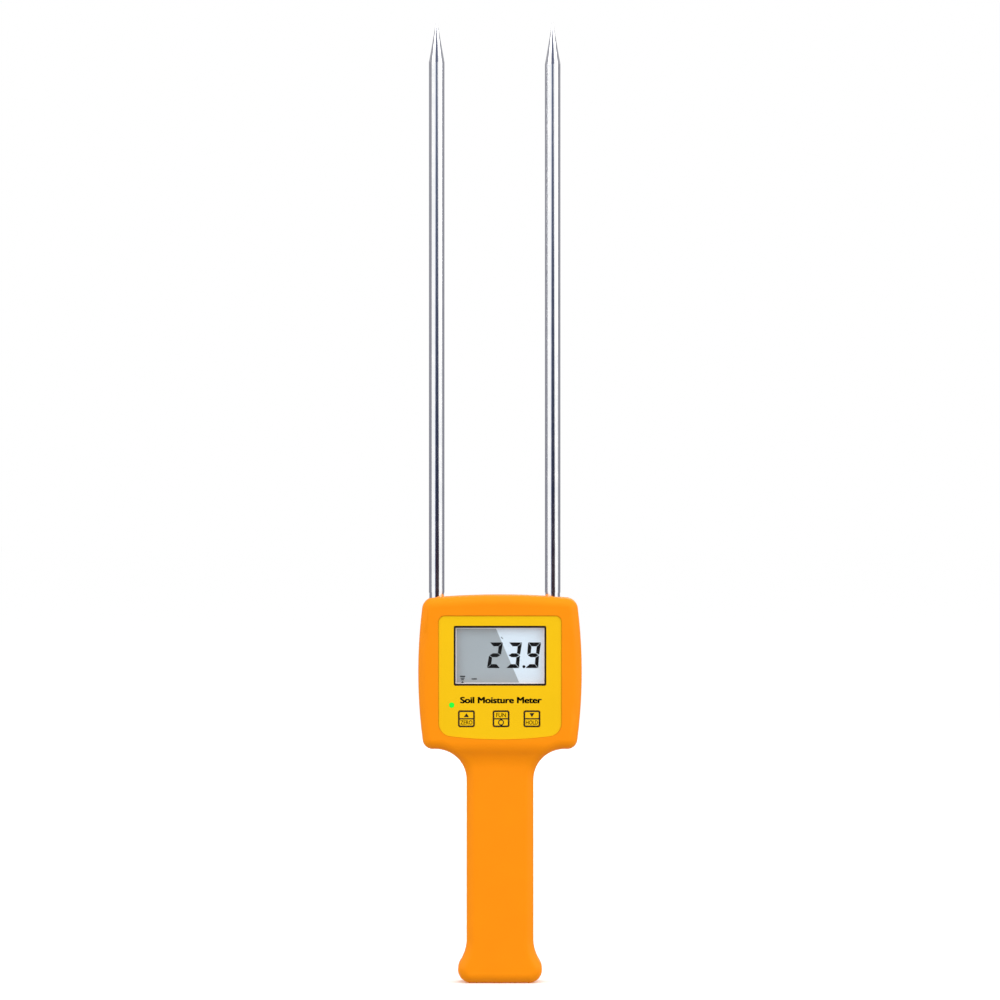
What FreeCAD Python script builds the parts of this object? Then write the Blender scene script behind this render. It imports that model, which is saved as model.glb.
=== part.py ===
"""Hand-held soil moisture meter: a two-part plastic housing with a display head and a battery handle, and two
long steel probes that stand out of the top of the head.

The origin is the centre of the flat end of the handle. +Z runs up the handle to the probe tips, the display
faces -Y, and +X is to the right of someone who reads the display. Sizes are in millimetres.
"""

import FreeCAD, Part

import math
import os
import re

import Sketcher
from FreeCAD import Placement, Rotation, Vector

# name, size in mm, what it is
DIMENSIONS = [
    ("overall_length", 460, "handle end to probe tips"),
    ("head_top", 185.2, "height of the top of the head, at its middle"),
    ("head_bottom", 111.8, "height of the head's lower edge"),
    ("head_width", 78, "head, at its widest"),
    ("head_thickness", 35, "head, front face to back face"),
    ("side_radius", 248, "bulged sides of the head"),
    ("top_radius", 375, "bulged top of the head"),
    ("head_top_corner_radius", 5.4, "upper corners of the head"),
    ("head_low_corner_radius", 4.8, "lower corners of the head"),
    ("shoulder_radius", 14.8, "hollow between the head and the handle"),
    ("handle_width", 32, "grip"),
    ("handle_thickness", 27, "grip, front to back"),
    ("base_width", 40.2, "flared end of the handle"),
    ("base_corner_radius", 6.4, "rounded corners of the flared end"),
    ("flare_radius", 19.8, "hollow between the grip and the flared end"),
    ("step_convex_radius", 8.2, "round from the head's face down to the grip"),
    ("step_hollow_radius", 13, "hollow from the grip up to the head's face"),
    ("step_rise", 3.4, "from the head's lower edge up to the flat of its face"),
    ("rim_radius", 4.5, "rounded edge of the front and back faces"),
    ("seam_chamfer", 0.3, "bevel along the seam between the covers"),
    ("wall", 2.4, "side walls of the covers"),
    ("face_wall", 3.2, "front and back walls of the head"),
    ("cavity_margin", 3.2, "deep part of the head's hollow, in from the shallow part"),
    ("cavity_corner", 4, "corners of the deep part of the head's hollow"),
    ("overlay_margin", 9.6, "recess for the front film, in from the head's sides"),
    ("overlay_drop", 9.8, "recess for the front film, below the top of the head"),
    ("overlay_rise", 4.5, "recess for the front film, above the head's lower edge"),
    ("overlay_top_corner_radius", 3, "upper corners of the film"),
    ("overlay_low_corner_radius", 6.5, "lower corners of the film"),
    ("overlay_bottom_radius", 187, "bowed lower edge of the film"),
    ("overlay_recess", 0.9, "depth of the recess for the film"),
    ("overlay_film", 0.5, "thickness of the film"),
    ("film_gap", 0.12, "between the film and what it fits round"),
    ("film_window_margin", 0.7, "film's window, beyond the clear opening"),
    ("window_width", 42.7, "clear opening over the display"),
    ("window_height", 27.2, "clear opening over the display"),
    ("window_drop", 28.9, "middle of the display, below the top of the head"),
    ("window_corner", 0.8, "corners of the clear opening"),
    ("window_ledge", 1.7, "ledge that the clear window sits on"),
    ("window_thickness", 1.2, "clear window"),
    ("fit_gap", 0.15, "between fixed pieces that fit in each other"),
    ("lcd_width", 47, "display glass"),
    ("lcd_height", 33, "display glass"),
    ("lcd_thickness", 2.8, "display glass, both sheets"),
    ("lcd_front_height", 30, "front sheet of the display glass"),
    ("lcd_gap", 0.4, "between the face wall and the display glass"),
    ("lcd_frame_wall", 2, "walls of the display's frame"),
    ("lcd_frame_floor", 1.2, "floor of the display's frame"),
    ("lcd_frame_lip", 0.7, "from the front of the glass to the front of its frame"),
    ("peg_radius", 0.6, "pegs of the display's frame"),
    ("peg_gap", 0.05, "round the pegs"),
    ("strip_width", 2.2, "elastomer connector strips"),
    ("strip_length", 44, "elastomer connector strips"),
    ("strip_inset", 0.6, "connector strips, in from the edges of the glass"),
    ("board_front", 8, "board's front face, forward of the seam"),
    ("board_thickness", 1.6, "circuit board"),
    ("board_margin", 7, "circuit board, in from the head's sides"),
    ("board_rise", 9.4, "circuit board, above the head's lower edge"),
    ("board_drop", 10.2, "circuit board, below the top of the head"),
    ("board_corner", 1.5, "circuit board corners"),
    ("board_hole_inset", 2.7, "board's screw holes, in from its edges"),
    ("board_screw_radius", 0.95, "thread of the board's screws"),
    ("board_screw_head_radius", 1.9, "head of the board's screws"),
    ("board_screw_head_height", 1.5, "head of the board's screws"),
    ("board_screw_length", 6.2, "board's screws under their heads"),
    ("board_boss_radius", 2.3, "bosses that the board stands on"),
    ("pilot_spare", 0.4, "room under the tip of a screw"),
    ("key_size", 7.8, "key cap"),
    ("key_corner", 1, "corners of the key caps"),
    ("key_gap", 0.15, "round a key cap"),
    ("key_rise", 14.5, "row of keys, above the head's lower edge"),
    ("key_zero_offset", 16, "left key, left of the middle"),
    ("key_function_offset", 0.5, "middle key, right of the middle"),
    ("key_hold_offset", 15.2, "right key, right of the middle"),
    ("key_well", 0.6, "room under a key cap"),
    ("key_hole_gap", 0.2, "between a key's stem and its hole"),
    ("plunger_radius", 1.7, "key stem and switch plunger"),
    ("plunger_collar_radius", 2.6, "collar that keeps a key in"),
    ("plunger_collar_thickness", 0.8, "collar that keeps a key in"),
    ("plunger_collar_gap", 0.05, "between the collar and the face wall"),
    ("plunger_in_switch", 0.7, "how far a plunger reaches into its switch"),
    ("switch_size", 6, "tactile switch body"),
    ("switch_thickness", 3.5, "tactile switch body"),
    ("switch_bore", 1.5, "depth of the bore in the switch"),
    ("running_gap", 0.1, "between a moving piece and what guides it"),
    ("led_offset", 23, "indicator, left of the middle"),
    ("led_rise", 21, "indicator, above the head's lower edge"),
    ("light_pipe_radius", 1.2, "indicator's light pipe"),
    ("light_pipe_collar_radius", 2, "indicator's light pipe"),
    ("light_pipe_collar", 0.8, "thickness of the collar"),
    ("led_length", 3.2, "indicator diode on the board"),
    ("led_width", 1.6, "indicator diode on the board"),
    ("led_thickness", 1.1, "indicator diode on the board"),
    ("led_gap", 0.2, "between the diode and its light pipe"),
    ("probe_radius", 3.7, "probe rods"),
    ("probe_neck", 0.2, "how much less radius a rod has inside the head"),
    ("probe_neck_reach", 1, "slimmer part of a rod, beyond the top of the head"),
    ("probe_left_inset", 8.7, "left probe, in from the head's left side"),
    ("probe_right_inset", 13.8, "right probe, in from the head's right side"),
    ("probe_right_shorter", 1, "right probe, shorter than the left"),
    ("probe_cone", 20, "length of the probes' points"),
    ("probe_tip_radius", 0.15, "end of the points"),
    ("probe_hole_gap", 0.12, "between a rod and the housing's top"),
    ("stud_radius", 2.5, "threaded inner end of a probe"),
    ("stud_length", 19.5, "threaded inner end of a probe"),
    ("stud_chamfer", 0.5, "end of the thread"),
    ("block_drop", 10.2, "insulating block, below the top of the head"),
    ("block_height", 12, "insulating block"),
    ("block_front", 4.4, "insulating block, forward of the seam"),
    ("block_back", 8, "insulating block, behind the seam"),
    ("block_left_end", 3.9, "insulating block, left of the left probe"),
    ("block_right_end", 6, "insulating block, right of the right probe"),
    ("block_chamfer", 0.8, "insulating block, edges"),
    ("block_screw_spread", 10, "block's screws, from the middle between the probes"),
    ("block_counterbore", 3, "depth of the seats for the block's screws"),
    ("block_screw_length", 13.5, "block's screws under their heads"),
    ("block_boss_radius", 3, "bosses that the block is screwed to"),
    ("terminal_radius", 4.2, "ring terminal"),
    ("terminal_thickness", 0.8, "ring terminal"),
    ("terminal_barrel_radius", 1.3, "ring terminal's barrel"),
    ("terminal_barrel_start", 4.8, "ring terminal's barrel, from the stud"),
    ("terminal_barrel_length", 4.8, "ring terminal's barrel"),
    ("lock_washer_radius", 4.1, "lock washer"),
    ("lock_washer_thickness", 1, "lock washer"),
    ("nut_across_flats", 8, "probe nut"),
    ("nut_height", 4, "probe nut"),
    ("collar_drop", 7, "collars for the probe seals, below the top of the head"),
    ("collar_left_height", 3.9, "collar for the left probe's seal, short of the head's corner"),
    ("collar_right_height", 5, "collar for the right probe's seal, up into the top wall"),
    ("collar_wall", 1.3, "collars for the probe seals, round the rods"),
    ("seal_width", 0.7, "probe seal, across its section"),
    ("seal_height", 1.5, "probe seal"),
    ("seal_rise", 0.8, "probe seal, above the lower end of its collar"),
    ("screw_radius", 1.35, "thread of the cover screws"),
    ("screw_head_radius", 2.4, "head of the cover screws"),
    ("screw_head_height", 2, "head of the cover screws"),
    ("screw_seat", 8, "where the cover screws' heads bear, behind the seam"),
    ("screw_length", 16, "cover screws under their heads"),
    ("counterbore_gap", 0.2, "round the head of a cover screw"),
    ("cross_width", 0.7, "cross recess in a screw head"),
    ("cross_depth", 1, "cross recess in a screw head"),
    ("cross_share", 0.6, "reach of the cross recess, as a share of the head's radius"),
    ("front_post_radius", 3.1, "front posts for the cover screws"),
    ("rear_post_radius", 3.8, "rear posts for the cover screws"),
    ("post_gap", 0.1, "between the front and rear posts"),
    ("top_post_offset", 15, "upper posts, from the middle"),
    ("top_post_drop", 6.2, "upper posts, below the top of the head"),
    ("low_post_inset", 8.7, "posts in the head's lower corners, in from its sides"),
    ("low_post_rise", 5.7, "posts in the head's lower corners, above its lower edge"),
    ("base_post_offset", 9.5, "posts in the handle's end, from the middle"),
    ("base_post_height", 6.9, "posts in the handle's end"),
    ("cell_radius", 5.25, "battery cell"),
    ("cell_length", 44.5, "battery cell with its button"),
    ("cell_button_radius", 1.9, "battery cell's button"),
    ("cell_button_height", 0.9, "battery cell's button"),
    ("cell_edge", 0.4, "rounded edges of a battery cell"),
    ("cell_gap", 0.1, "round a battery cell"),
    ("bay_bottom", 12.6, "battery bay, inside lower end"),
    ("bay_wall", 1.4, "battery bay walls"),
    ("cell_cover", 1.3, "between the cells and the underside of the door"),
    ("contact_thickness", 0.4, "battery contact plates"),
    ("contact_size", 8.4, "battery contact plates"),
    ("contact_tab_width", 2.4, "solder tabs of the battery contacts"),
    ("contact_tab_length", 3.1, "solder tabs, beyond the battery bay"),
    ("spring_length", 5.2, "battery spring, with a cell in place"),
    ("spring_wire", 0.25, "battery spring, radius of its wire"),
    ("spring_big_radius", 3.6, "battery spring at its plate"),
    ("spring_small_radius", 2, "battery spring at the cell"),
    ("spring_turns", 4, "battery spring"),
    ("door_width", 24.6, "battery door"),
    ("door_bottom", 10.6, "battery door, lower edge"),
    ("door_thickness", 2.2, "battery door"),
    ("door_gap", 0.2, "round the battery door"),
    ("door_seat_gap", 0.1, "between the door and its ledge"),
    ("door_rib_thickness", 1.2, "ribs inside the door"),
    ("knuckle_width", 22.4, "door's hinge knuckle"),
    ("knuckle_radius", 1.3, "door's hinge knuckle"),
    ("knuckle_inset", 0.1, "hinge knuckle, below the outer surface"),
    ("hinge_pin_radius", 0.75, "hinge pins of the door"),
    ("hinge_pin_length", 1.1, "hinge pins of the door"),
    ("hinge_pin_gap", 0.07, "between a hinge pin and its socket"),
    ("ear_height", 2.6, "lugs of the rear cover that hold the hinge pins"),
    ("ear_gap", 0.7, "between the lugs and the door's shoulders"),
    ("ledge_thickness", 1.2, "ledge round the battery bay"),
    ("grip_rib_width", 14, "finger ribs on the door"),
    ("grip_rib_height", 0.45, "finger ribs on the door"),
    ("grip_rib_thickness", 0.9, "finger ribs on the door"),
    ("grip_rib_pitch", 2.2, "finger ribs on the door"),
    ("grip_rib_start", 8, "finger ribs, up from the door's lower edge"),
    ("tongue_width", 9, "door's snap tongue"),
    ("tongue_length", 1.7, "door's snap tongue, under the door"),
    ("tongue_thickness", 1.1, "door's snap tongue"),
    ("tongue_gap", 0.2, "round the snap tongue"),
    ("notch_radius", 5, "thumb notch under the door's lower edge"),
    ("notch_depth", 1.2, "thumb notch under the door's lower edge"),
    ("label_width", 46, "rating label"),
    ("label_height", 34, "rating label"),
    ("label_drop", 39.2, "middle of the label, below the top of the head"),
    ("label_corner", 2.5, "corners of the label"),
    ("label_recess", 0.4, "depth of the label's recess"),
    ("label_film", 0.25, "thickness of the label"),
    ("chip_size", 10, "microcontroller"),
    ("chip_thickness", 1.4, "microcontroller"),
    ("chip_lift", 0.1, "between the microcontroller's body and the board"),
    ("chip_pin_width", 0.5, "pins of the microcontroller"),
    ("chip_pin_pitch", 1.2, "pins of the microcontroller"),
    ("chip_pin_reach", 0.9, "pins of the microcontroller, beyond its body"),
    ("chip_drop", 37.2, "middle of the microcontroller, below the top of the head"),
    ("small_part_length", 2, "small components on the board"),
    ("small_part_width", 1.2, "small components on the board"),
    ("small_part_height", 0.9, "small components on the board"),
    ("small_part_pitch", 5, "small components on the board"),
    ("lead_radius", 0.6, "insulated leads"),
    ("lead_height", 130, "height where the battery leads meet the board"),
    ("battery_lead_bend", 6, "bend of the battery leads"),
    ("probe_lead_reach", 4.6, "probe leads, from their terminals to the turn"),
    ("probe_lead_bend", 2.8, "bend of the probe leads"),
]

doc = FreeCAD.newDocument("soil_moisture_meter")
sheet = doc.addObject("Spreadsheet::Sheet", "dims")
ALIASES = {name for name, _, _ in DIMENSIONS}
nodes = []  # the finished objects, one per file

# Places that several pieces share, as expressions of the sheet.
FACE = "(-head_thickness / 2)"
FACE_INSIDE = "(-head_thickness / 2 + face_wall)"
BACK = "(head_thickness / 2)"
BACK_INSIDE = "(head_thickness / 2 - face_wall)"
OVERLAY_HALF = "(head_width / 2 - overlay_margin)"
OVERLAY_LOW = "(head_bottom + overlay_rise)"
OVERLAY_HIGH = "(head_top - overlay_drop)"
FILM_BACK = "(-head_thickness / 2 + overlay_recess)"
FILM_FRONT = f"({FILM_BACK} - overlay_film)"
GRIP_BACK = "(handle_thickness / 2)"
HALF_HEAD = "(head_width / 2)"
HEAD_MIDDLE = "((head_bottom + head_top) / 2)"
WINDOW_HEIGHT = "(head_top - window_drop)"
LCD_FRONT = f"({FACE_INSIDE} + lcd_gap)"
LCD_BACK = f"({LCD_FRONT} + lcd_thickness)"
BOARD_FRONT = "(-board_front)"
BOARD_BACK = "(-board_front + board_thickness)"
BOARD_HALF = "(head_width / 2 - board_margin)"
BOARD_LOW = "(head_bottom + board_rise)"
BOARD_HIGH = "(head_top - board_drop)"
LCD_FRAME_WIDTH = "(lcd_width + 2 * fit_gap + 2 * lcd_frame_wall)"
LCD_FRAME_HEIGHT = "(lcd_height + 2 * fit_gap + 2 * lcd_frame_wall)"
KEY_HEIGHT = "(head_bottom + key_rise)"
SWITCH_FRONT = "(-board_front - switch_thickness)"
COLLAR_FRONT = f"({FACE_INSIDE} + plunger_collar_gap)"
LED_HEIGHT = "(head_bottom + led_rise)"
LED_FRONT = "(-board_front - led_thickness)"
BLOCK_TOP = "(head_top - block_drop)"
BLOCK_BOTTOM = "(head_top - block_drop - block_height)"
BLOCK_SEAT = "(-block_front + block_counterbore)"
BARREL_HEIGHT = f"({BLOCK_BOTTOM} - terminal_barrel_radius)"
NECK = "(probe_radius - probe_neck)"
SEAL_BOTTOM = "(head_top - collar_drop + seal_rise)"
DOOR_INSIDE = f"({GRIP_BACK} - door_thickness)"
DOOR_SEAT = f"({DOOR_INSIDE} - door_seat_gap)"
CELL_OFFSET = "(cell_radius + fit_gap)"
CELL_AXIS = f"({DOOR_INSIDE} - cell_cover - cell_radius)"
BAY_HALF = f"({CELL_OFFSET} + cell_radius + 2 * fit_gap)"
BAY_FLOOR = f"({CELL_AXIS} - cell_radius - cell_gap)"
BAY_TOP = "(bay_bottom + 2 * cell_length + spring_length + 2 * contact_thickness)"
TAB_BACK = f"({CELL_AXIS} + contact_size / 2)"
STEP = "((head_thickness - handle_thickness) / 2)"
STEP_TURN = "(step_convex_radius + step_hollow_radius)"
STEP_BOTTOM = f"(head_bottom + step_rise - sqrt(2 * {STEP_TURN} * {STEP} - {STEP} * {STEP}))"
HINGE_DEPTH = f"({GRIP_BACK} - knuckle_inset - knuckle_radius)"
HINGE_HEIGHT = f"({STEP_BOTTOM} - knuckle_radius - door_gap)"

KEYS = {"zero": "(-key_zero_offset)", "function": "key_function_offset", "hold": "key_hold_offset"}
PROBES = {"left": f"(-{HALF_HEAD} + probe_left_inset)", "right": f"({HALF_HEAD} - probe_right_inset)"}
INWARD = {"left": "", "right": "-"}
BLOCK_MIDDLE = f"(({PROBES['left']} + {PROBES['right']}) / 2)"
BLOCK_SCREWS = [
    (f"({BLOCK_MIDDLE} {side} block_screw_spread)", f"({BLOCK_TOP} - block_height / 2)") for side in "-+"
]
BOARD_HOLES = [
    (f"({side}({BOARD_HALF} - board_hole_inset))", height)
    for side in ("-", "")
    for height in (f"({BOARD_LOW} + board_hole_inset)", f"({BOARD_HIGH} - board_hole_inset)")
]
HEAD_POSTS = [
    (f"({side}{across})", height)
    for side in ("-", "")
    for across, height in (
        ("top_post_offset", "(head_top - top_post_drop)"),
        (f"({HALF_HEAD} - low_post_inset)", "(head_bottom + low_post_rise)"),
    )
]
BASE_POSTS = [(f"({side}base_post_offset)", "base_post_height") for side in ("-", "")]

ALONG_Y = Rotation(Vector(1, 0, 0), -90)
ALONG_X = Rotation(Vector(0, 1, 0), 90)
UPRIGHT = Rotation()
UPSIDE_DOWN = Rotation(Vector(1, 0, 0), 180)


def fill_sheet():
    for row, (name, size, meaning) in enumerate(DIMENSIONS, start=1):
        sheet.set(f"A{row}", name)
        sheet.set(f"B{row}", str(size))
        sheet.set(f"C{row}", meaning)
        sheet.setAlias(f"B{row}", name)
    doc.recompute()


def cells(text):
    """An expression with each dimension's name turned into a reference to its cell."""
    return re.sub(r"[a-z_]+", lambda m: f"dims.{m.group()}" if m.group() in ALIASES else m.group(), text)


def number(text):
    """What an expression comes to now."""
    return float(sheet.evalExpression(cells(text)))


def bind(thing, prop, text):
    thing.setExpression(prop, cells(text))


# Sketches


def new_sketch(body, name, plane, offset="0"):
    """An empty sketch on one of the body's own origin planes, moved along that plane's normal."""
    sk = body.newObject("Sketcher::SketchObject", name)
    support = next(o for o in body.Origin.OriginFeatures if o.Role == plane)
    sk.AttachmentSupport = (support, [""])
    sk.MapMode = "FlatFace"
    bind(sk, "AttachmentOffset.Base.z", offset)
    return sk


def fix(sk, kind, where, text):
    """A dimension of the sketch, bound to an expression. A negative distance is measured the other way."""
    if kind.startswith("Distance") and number(text) < 0:
        where, text = (where[2:] + where[:2]), f"-({text})"
    index = sk.addConstraint(Sketcher.Constraint(kind, *where, number(text)))
    bind(sk, f"Constraints[{index}]", text)


def fix_point(sk, geo, end, across, up):
    """Places a point of the sketch, with zero meaning that it lies on the axis."""
    for kind, axis, text in (("DistanceX", -2, across), ("DistanceY", -1, up)):
        if abs(number(text)) < 1e-9:
            sk.addConstraint(Sketcher.Constraint("PointOnObject", geo, end, axis))
        else:
            fix(sk, kind, (-1, 1, geo, end), text)


def polygon(sk, corners):
    """A closed run of straight lines through corners, each a pair of expressions."""
    points = [Vector(number(across), number(up), 0) for across, up in corners]
    first = sk.GeometryCount
    count = len(points)
    for i in range(count):
        sk.addGeometry(Part.LineSegment(points[i], points[(i + 1) % count]), False)
    for i in range(count):
        sk.addConstraint(Sketcher.Constraint("Coincident", first + i, 2, first + (i + 1) % count, 1))
        fix_point(sk, first + i, 1, *corners[i])


def square(sk, centre, size):
    """A square with the key caps' rounded corners."""
    rounded_rectangle(sk, centre, size, size, "key_corner")


def draw(sk, shape):
    return sk.addGeometry(shape, False)


def straight(sk, start, end):
    return draw(sk, Part.LineSegment(Vector(*start, 0), Vector(*end, 0)))


def circle(sk, across, up, radius):
    centre = Vector(number(across), number(up), 0)
    geo = draw(sk, Part.Circle(centre, Vector(0, 0, 1), number(radius)))
    fix(sk, "Radius", (geo,), radius)
    fix_point(sk, geo, 3, across, up)


def arc(centre, radius, start, end):
    """An arc of a circle from one angle to another, anticlockwise, in degrees."""
    whole = Part.Circle(Vector(*centre, 0), Vector(0, 0, 1), radius)
    return Part.ArcOfCircle(whole, math.radians(start), math.radians(end))


def rounded_rectangle(sk, centre, width, height, radius):
    """A rectangle with rounded corners about centre, a pair of expressions."""
    x0, y0 = number(centre[0]), number(centre[1])
    half_w, half_h, r = number(width) / 2, number(height) / 2, number(radius)
    geos = []
    for dx, dy, start in ((1, -1, 270), (1, 1, 0), (-1, 1, 90), (-1, -1, 180)):
        middle = (x0 + dx * (half_w - r), y0 + dy * (half_h - r))
        geos.append(draw(sk, arc(middle, r, start, start + 90)))
    ends = [sk.getPoint(g, e) for g in geos for e in (1, 2)]
    lines = [
        sk.addGeometry(Part.LineSegment(ends[2 * i + 1], ends[(2 * i + 2) % 8]), False) for i in range(4)
    ]
    for i in range(4):
        sk.addConstraint(Sketcher.Constraint("Tangent", geos[i], 2, lines[i], 1))
        sk.addConstraint(Sketcher.Constraint("Tangent", lines[i], 2, geos[(i + 1) % 4], 1))
        if i:
            sk.addConstraint(Sketcher.Constraint("Equal", geos[0], geos[i]))
    for i, kind in enumerate(("Vertical", "Horizontal", "Vertical", "Horizontal")):
        sk.addConstraint(Sketcher.Constraint(kind, lines[i]))
    fix(sk, "Radius", (geos[0],), radius)
    aside, up = f"({width} / 2 - ({radius}))", f"({height} / 2 - ({radius}))"
    fix_point(sk, geos[1], 3, f"{centre[0]} + {aside}", f"{centre[1]} + {up}")
    fix_point(sk, geos[3], 3, f"{centre[0]} - {aside}", f"{centre[1]} - {up}")


def bent_line(sk, route, bend):
    """Two straight runs at right angles with a tangent arc between them, through three points."""
    a, b, c = [Vector(number(across), number(up), 0) for across, up in route]
    r = number(bend)
    first, last = (a - b).normalize(), (c - b).normalize()
    centre = b + first * r + last * r
    turned = first.cross(last).z > 0
    start = angle_of(centre, b + last * r) if turned else angle_of(centre, b + first * r)
    geos = [
        sk.addGeometry(Part.LineSegment(a, b + first * r), False),
        sk.addGeometry(arc((centre.x, centre.y), r, start, start + 90), False),
        sk.addGeometry(Part.LineSegment(b + last * r, c), False),
    ]
    chain = [(geos[0], 1, 2), (geos[1], 2, 1) if turned else (geos[1], 1, 2), (geos[2], 1, 2)]
    join_smoothly(sk, chain)
    for geo in (geos[0], geos[2]):
        run = sk.Geometry[geo].EndPoint - sk.Geometry[geo].StartPoint
        kind = "Vertical" if abs(run.x) < 1e-6 else "Horizontal"
        sk.addConstraint(Sketcher.Constraint(kind, geo))
    fix(sk, "Radius", (geos[1],), bend)
    fix_point(sk, geos[0], 1, *route[0])
    fix_point(sk, geos[2], 2, *route[2])


def join_smoothly(sk, chain):
    """Tangent joints along a chain of (geometry, its leading end, its trailing end)."""
    for (a, _, a_end), (b, b_start, _) in zip(chain, chain[1:]):
        sk.addConstraint(Sketcher.Constraint("Tangent", a, a_end, b, b_start))


def angle_of(centre, point):
    return math.degrees(math.atan2(point[1] - centre[1], point[0] - centre[0]))


def meet(c1, r1, c2, r2):
    """The right-hand meeting point of two circles, given by their centres and radii."""
    dx, dy = c2[0] - c1[0], c2[1] - c1[1]
    d = math.hypot(dx, dy)
    along = (d * d + r1 * r1 - r2 * r2) / (2 * d)
    off = math.sqrt(r1 * r1 - along * along)
    options = [
        (c1[0] + along * dx / d + s * off * dy / d, c1[1] + along * dy / d - s * off * dx / d)
        for s in (1, -1)
    ]
    return max(options)


def housing_outline(sk, inset):
    """The right half of the housing's front outline, moved in by inset, from the handle's end to the head."""
    n = number
    d = n(inset)
    base_c = (n("base_width / 2 - base_corner_radius"), n("base_corner_radius"))
    grip = n("handle_width / 2")
    reach = n("base_corner_radius + flare_radius")
    flare_x = grip + n("flare_radius")
    flare_c = (flare_x, base_c[1] + math.sqrt(reach**2 - (flare_x - base_c[0]) ** 2))
    shoulder_c = (grip + n("shoulder_radius"), n("head_bottom - shoulder_radius"))
    side_c = (n("head_width / 2 - side_radius"), n("(head_bottom + head_top) / 2"))
    top_c = (0.0, n("head_top - top_radius"))
    low_r, high_r = n("head_low_corner_radius"), n("head_top_corner_radius")
    low_y = n("head_bottom") + low_r
    low_c = (side_c[0] + math.sqrt((n("side_radius") - low_r) ** 2 - (low_y - side_c[1]) ** 2), low_y)
    high_c = meet(side_c, n("side_radius") - high_r, top_c, n("top_radius") - high_r)
    flare_turn = angle_of(base_c, flare_c)
    low_turn = angle_of(side_c, low_c)
    side_turn = angle_of(side_c, high_c)
    top_turn = angle_of(top_c, high_c)
    head_low = n("head_bottom") + d
    foot = straight(sk, (0, d), (base_c[0], d))
    base = draw(sk, arc(base_c, n("base_corner_radius") - d, -90, flare_turn))
    flare = draw(sk, arc(flare_c, n("flare_radius") + d, 180, 180 + flare_turn))
    grip_line = straight(sk, (grip - d, flare_c[1]), (grip - d, shoulder_c[1]))
    shoulder = draw(sk, arc(shoulder_c, n("shoulder_radius") + d, 90, 180))
    shelf = straight(sk, (shoulder_c[0], head_low), (low_c[0], head_low))
    low = draw(sk, arc(low_c, low_r - d, -90, low_turn))
    side = draw(sk, arc(side_c, n("side_radius") - d, low_turn, side_turn))
    high = draw(sk, arc(high_c, high_r - d, side_turn, top_turn))
    top = draw(sk, arc(top_c, n("top_radius") - d, top_turn, 90))
    middle = straight(sk, (0, n("head_top") - d), (0, d))
    join_smoothly(
        sk,
        [(foot, 1, 2), (base, 1, 2), (flare, 2, 1), (grip_line, 1, 2), (shoulder, 2, 1), (shelf, 1, 2)]
        + [(low, 1, 2), (side, 1, 2), (high, 1, 2), (top, 1, 2)],
    )
    sk.addConstraint(Sketcher.Constraint("Coincident", top, 2, middle, 1))
    sk.addConstraint(Sketcher.Constraint("Coincident", middle, 2, foot, 1))
    sk.addConstraint(Sketcher.Constraint("Vertical", middle))
    sk.addConstraint(Sketcher.Constraint("Horizontal", foot))
    sk.addConstraint(Sketcher.Constraint("Vertical", grip_line))
    sk.addConstraint(Sketcher.Constraint("Horizontal", shelf))
    fix_point(sk, foot, 1, "0", inset)
    fix(sk, "Radius", (base,), f"base_corner_radius - {inset}")
    fix(sk, "Radius", (flare,), f"flare_radius + {inset}")
    fix(sk, "Radius", (shoulder,), f"shoulder_radius + {inset}")
    fix(sk, "Radius", (low,), f"head_low_corner_radius - {inset}")
    fix(sk, "Radius", (side,), f"side_radius - {inset}")
    fix(sk, "Radius", (high,), f"head_top_corner_radius - {inset}")
    fix(sk, "Radius", (top,), f"top_radius - {inset}")
    fix(sk, "DistanceX", (-1, 1, base, 3), "base_width / 2 - base_corner_radius")
    fix(sk, "DistanceX", (-1, 1, grip_line, 1), f"handle_width / 2 - {inset}")
    fix(sk, "DistanceY", (-1, 1, shelf, 1), f"head_bottom + {inset}")
    fix_point(sk, side, 3, "head_width / 2 - side_radius", "(head_bottom + head_top) / 2")
    fix_point(sk, top, 3, "0", "head_top - top_radius")


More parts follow.
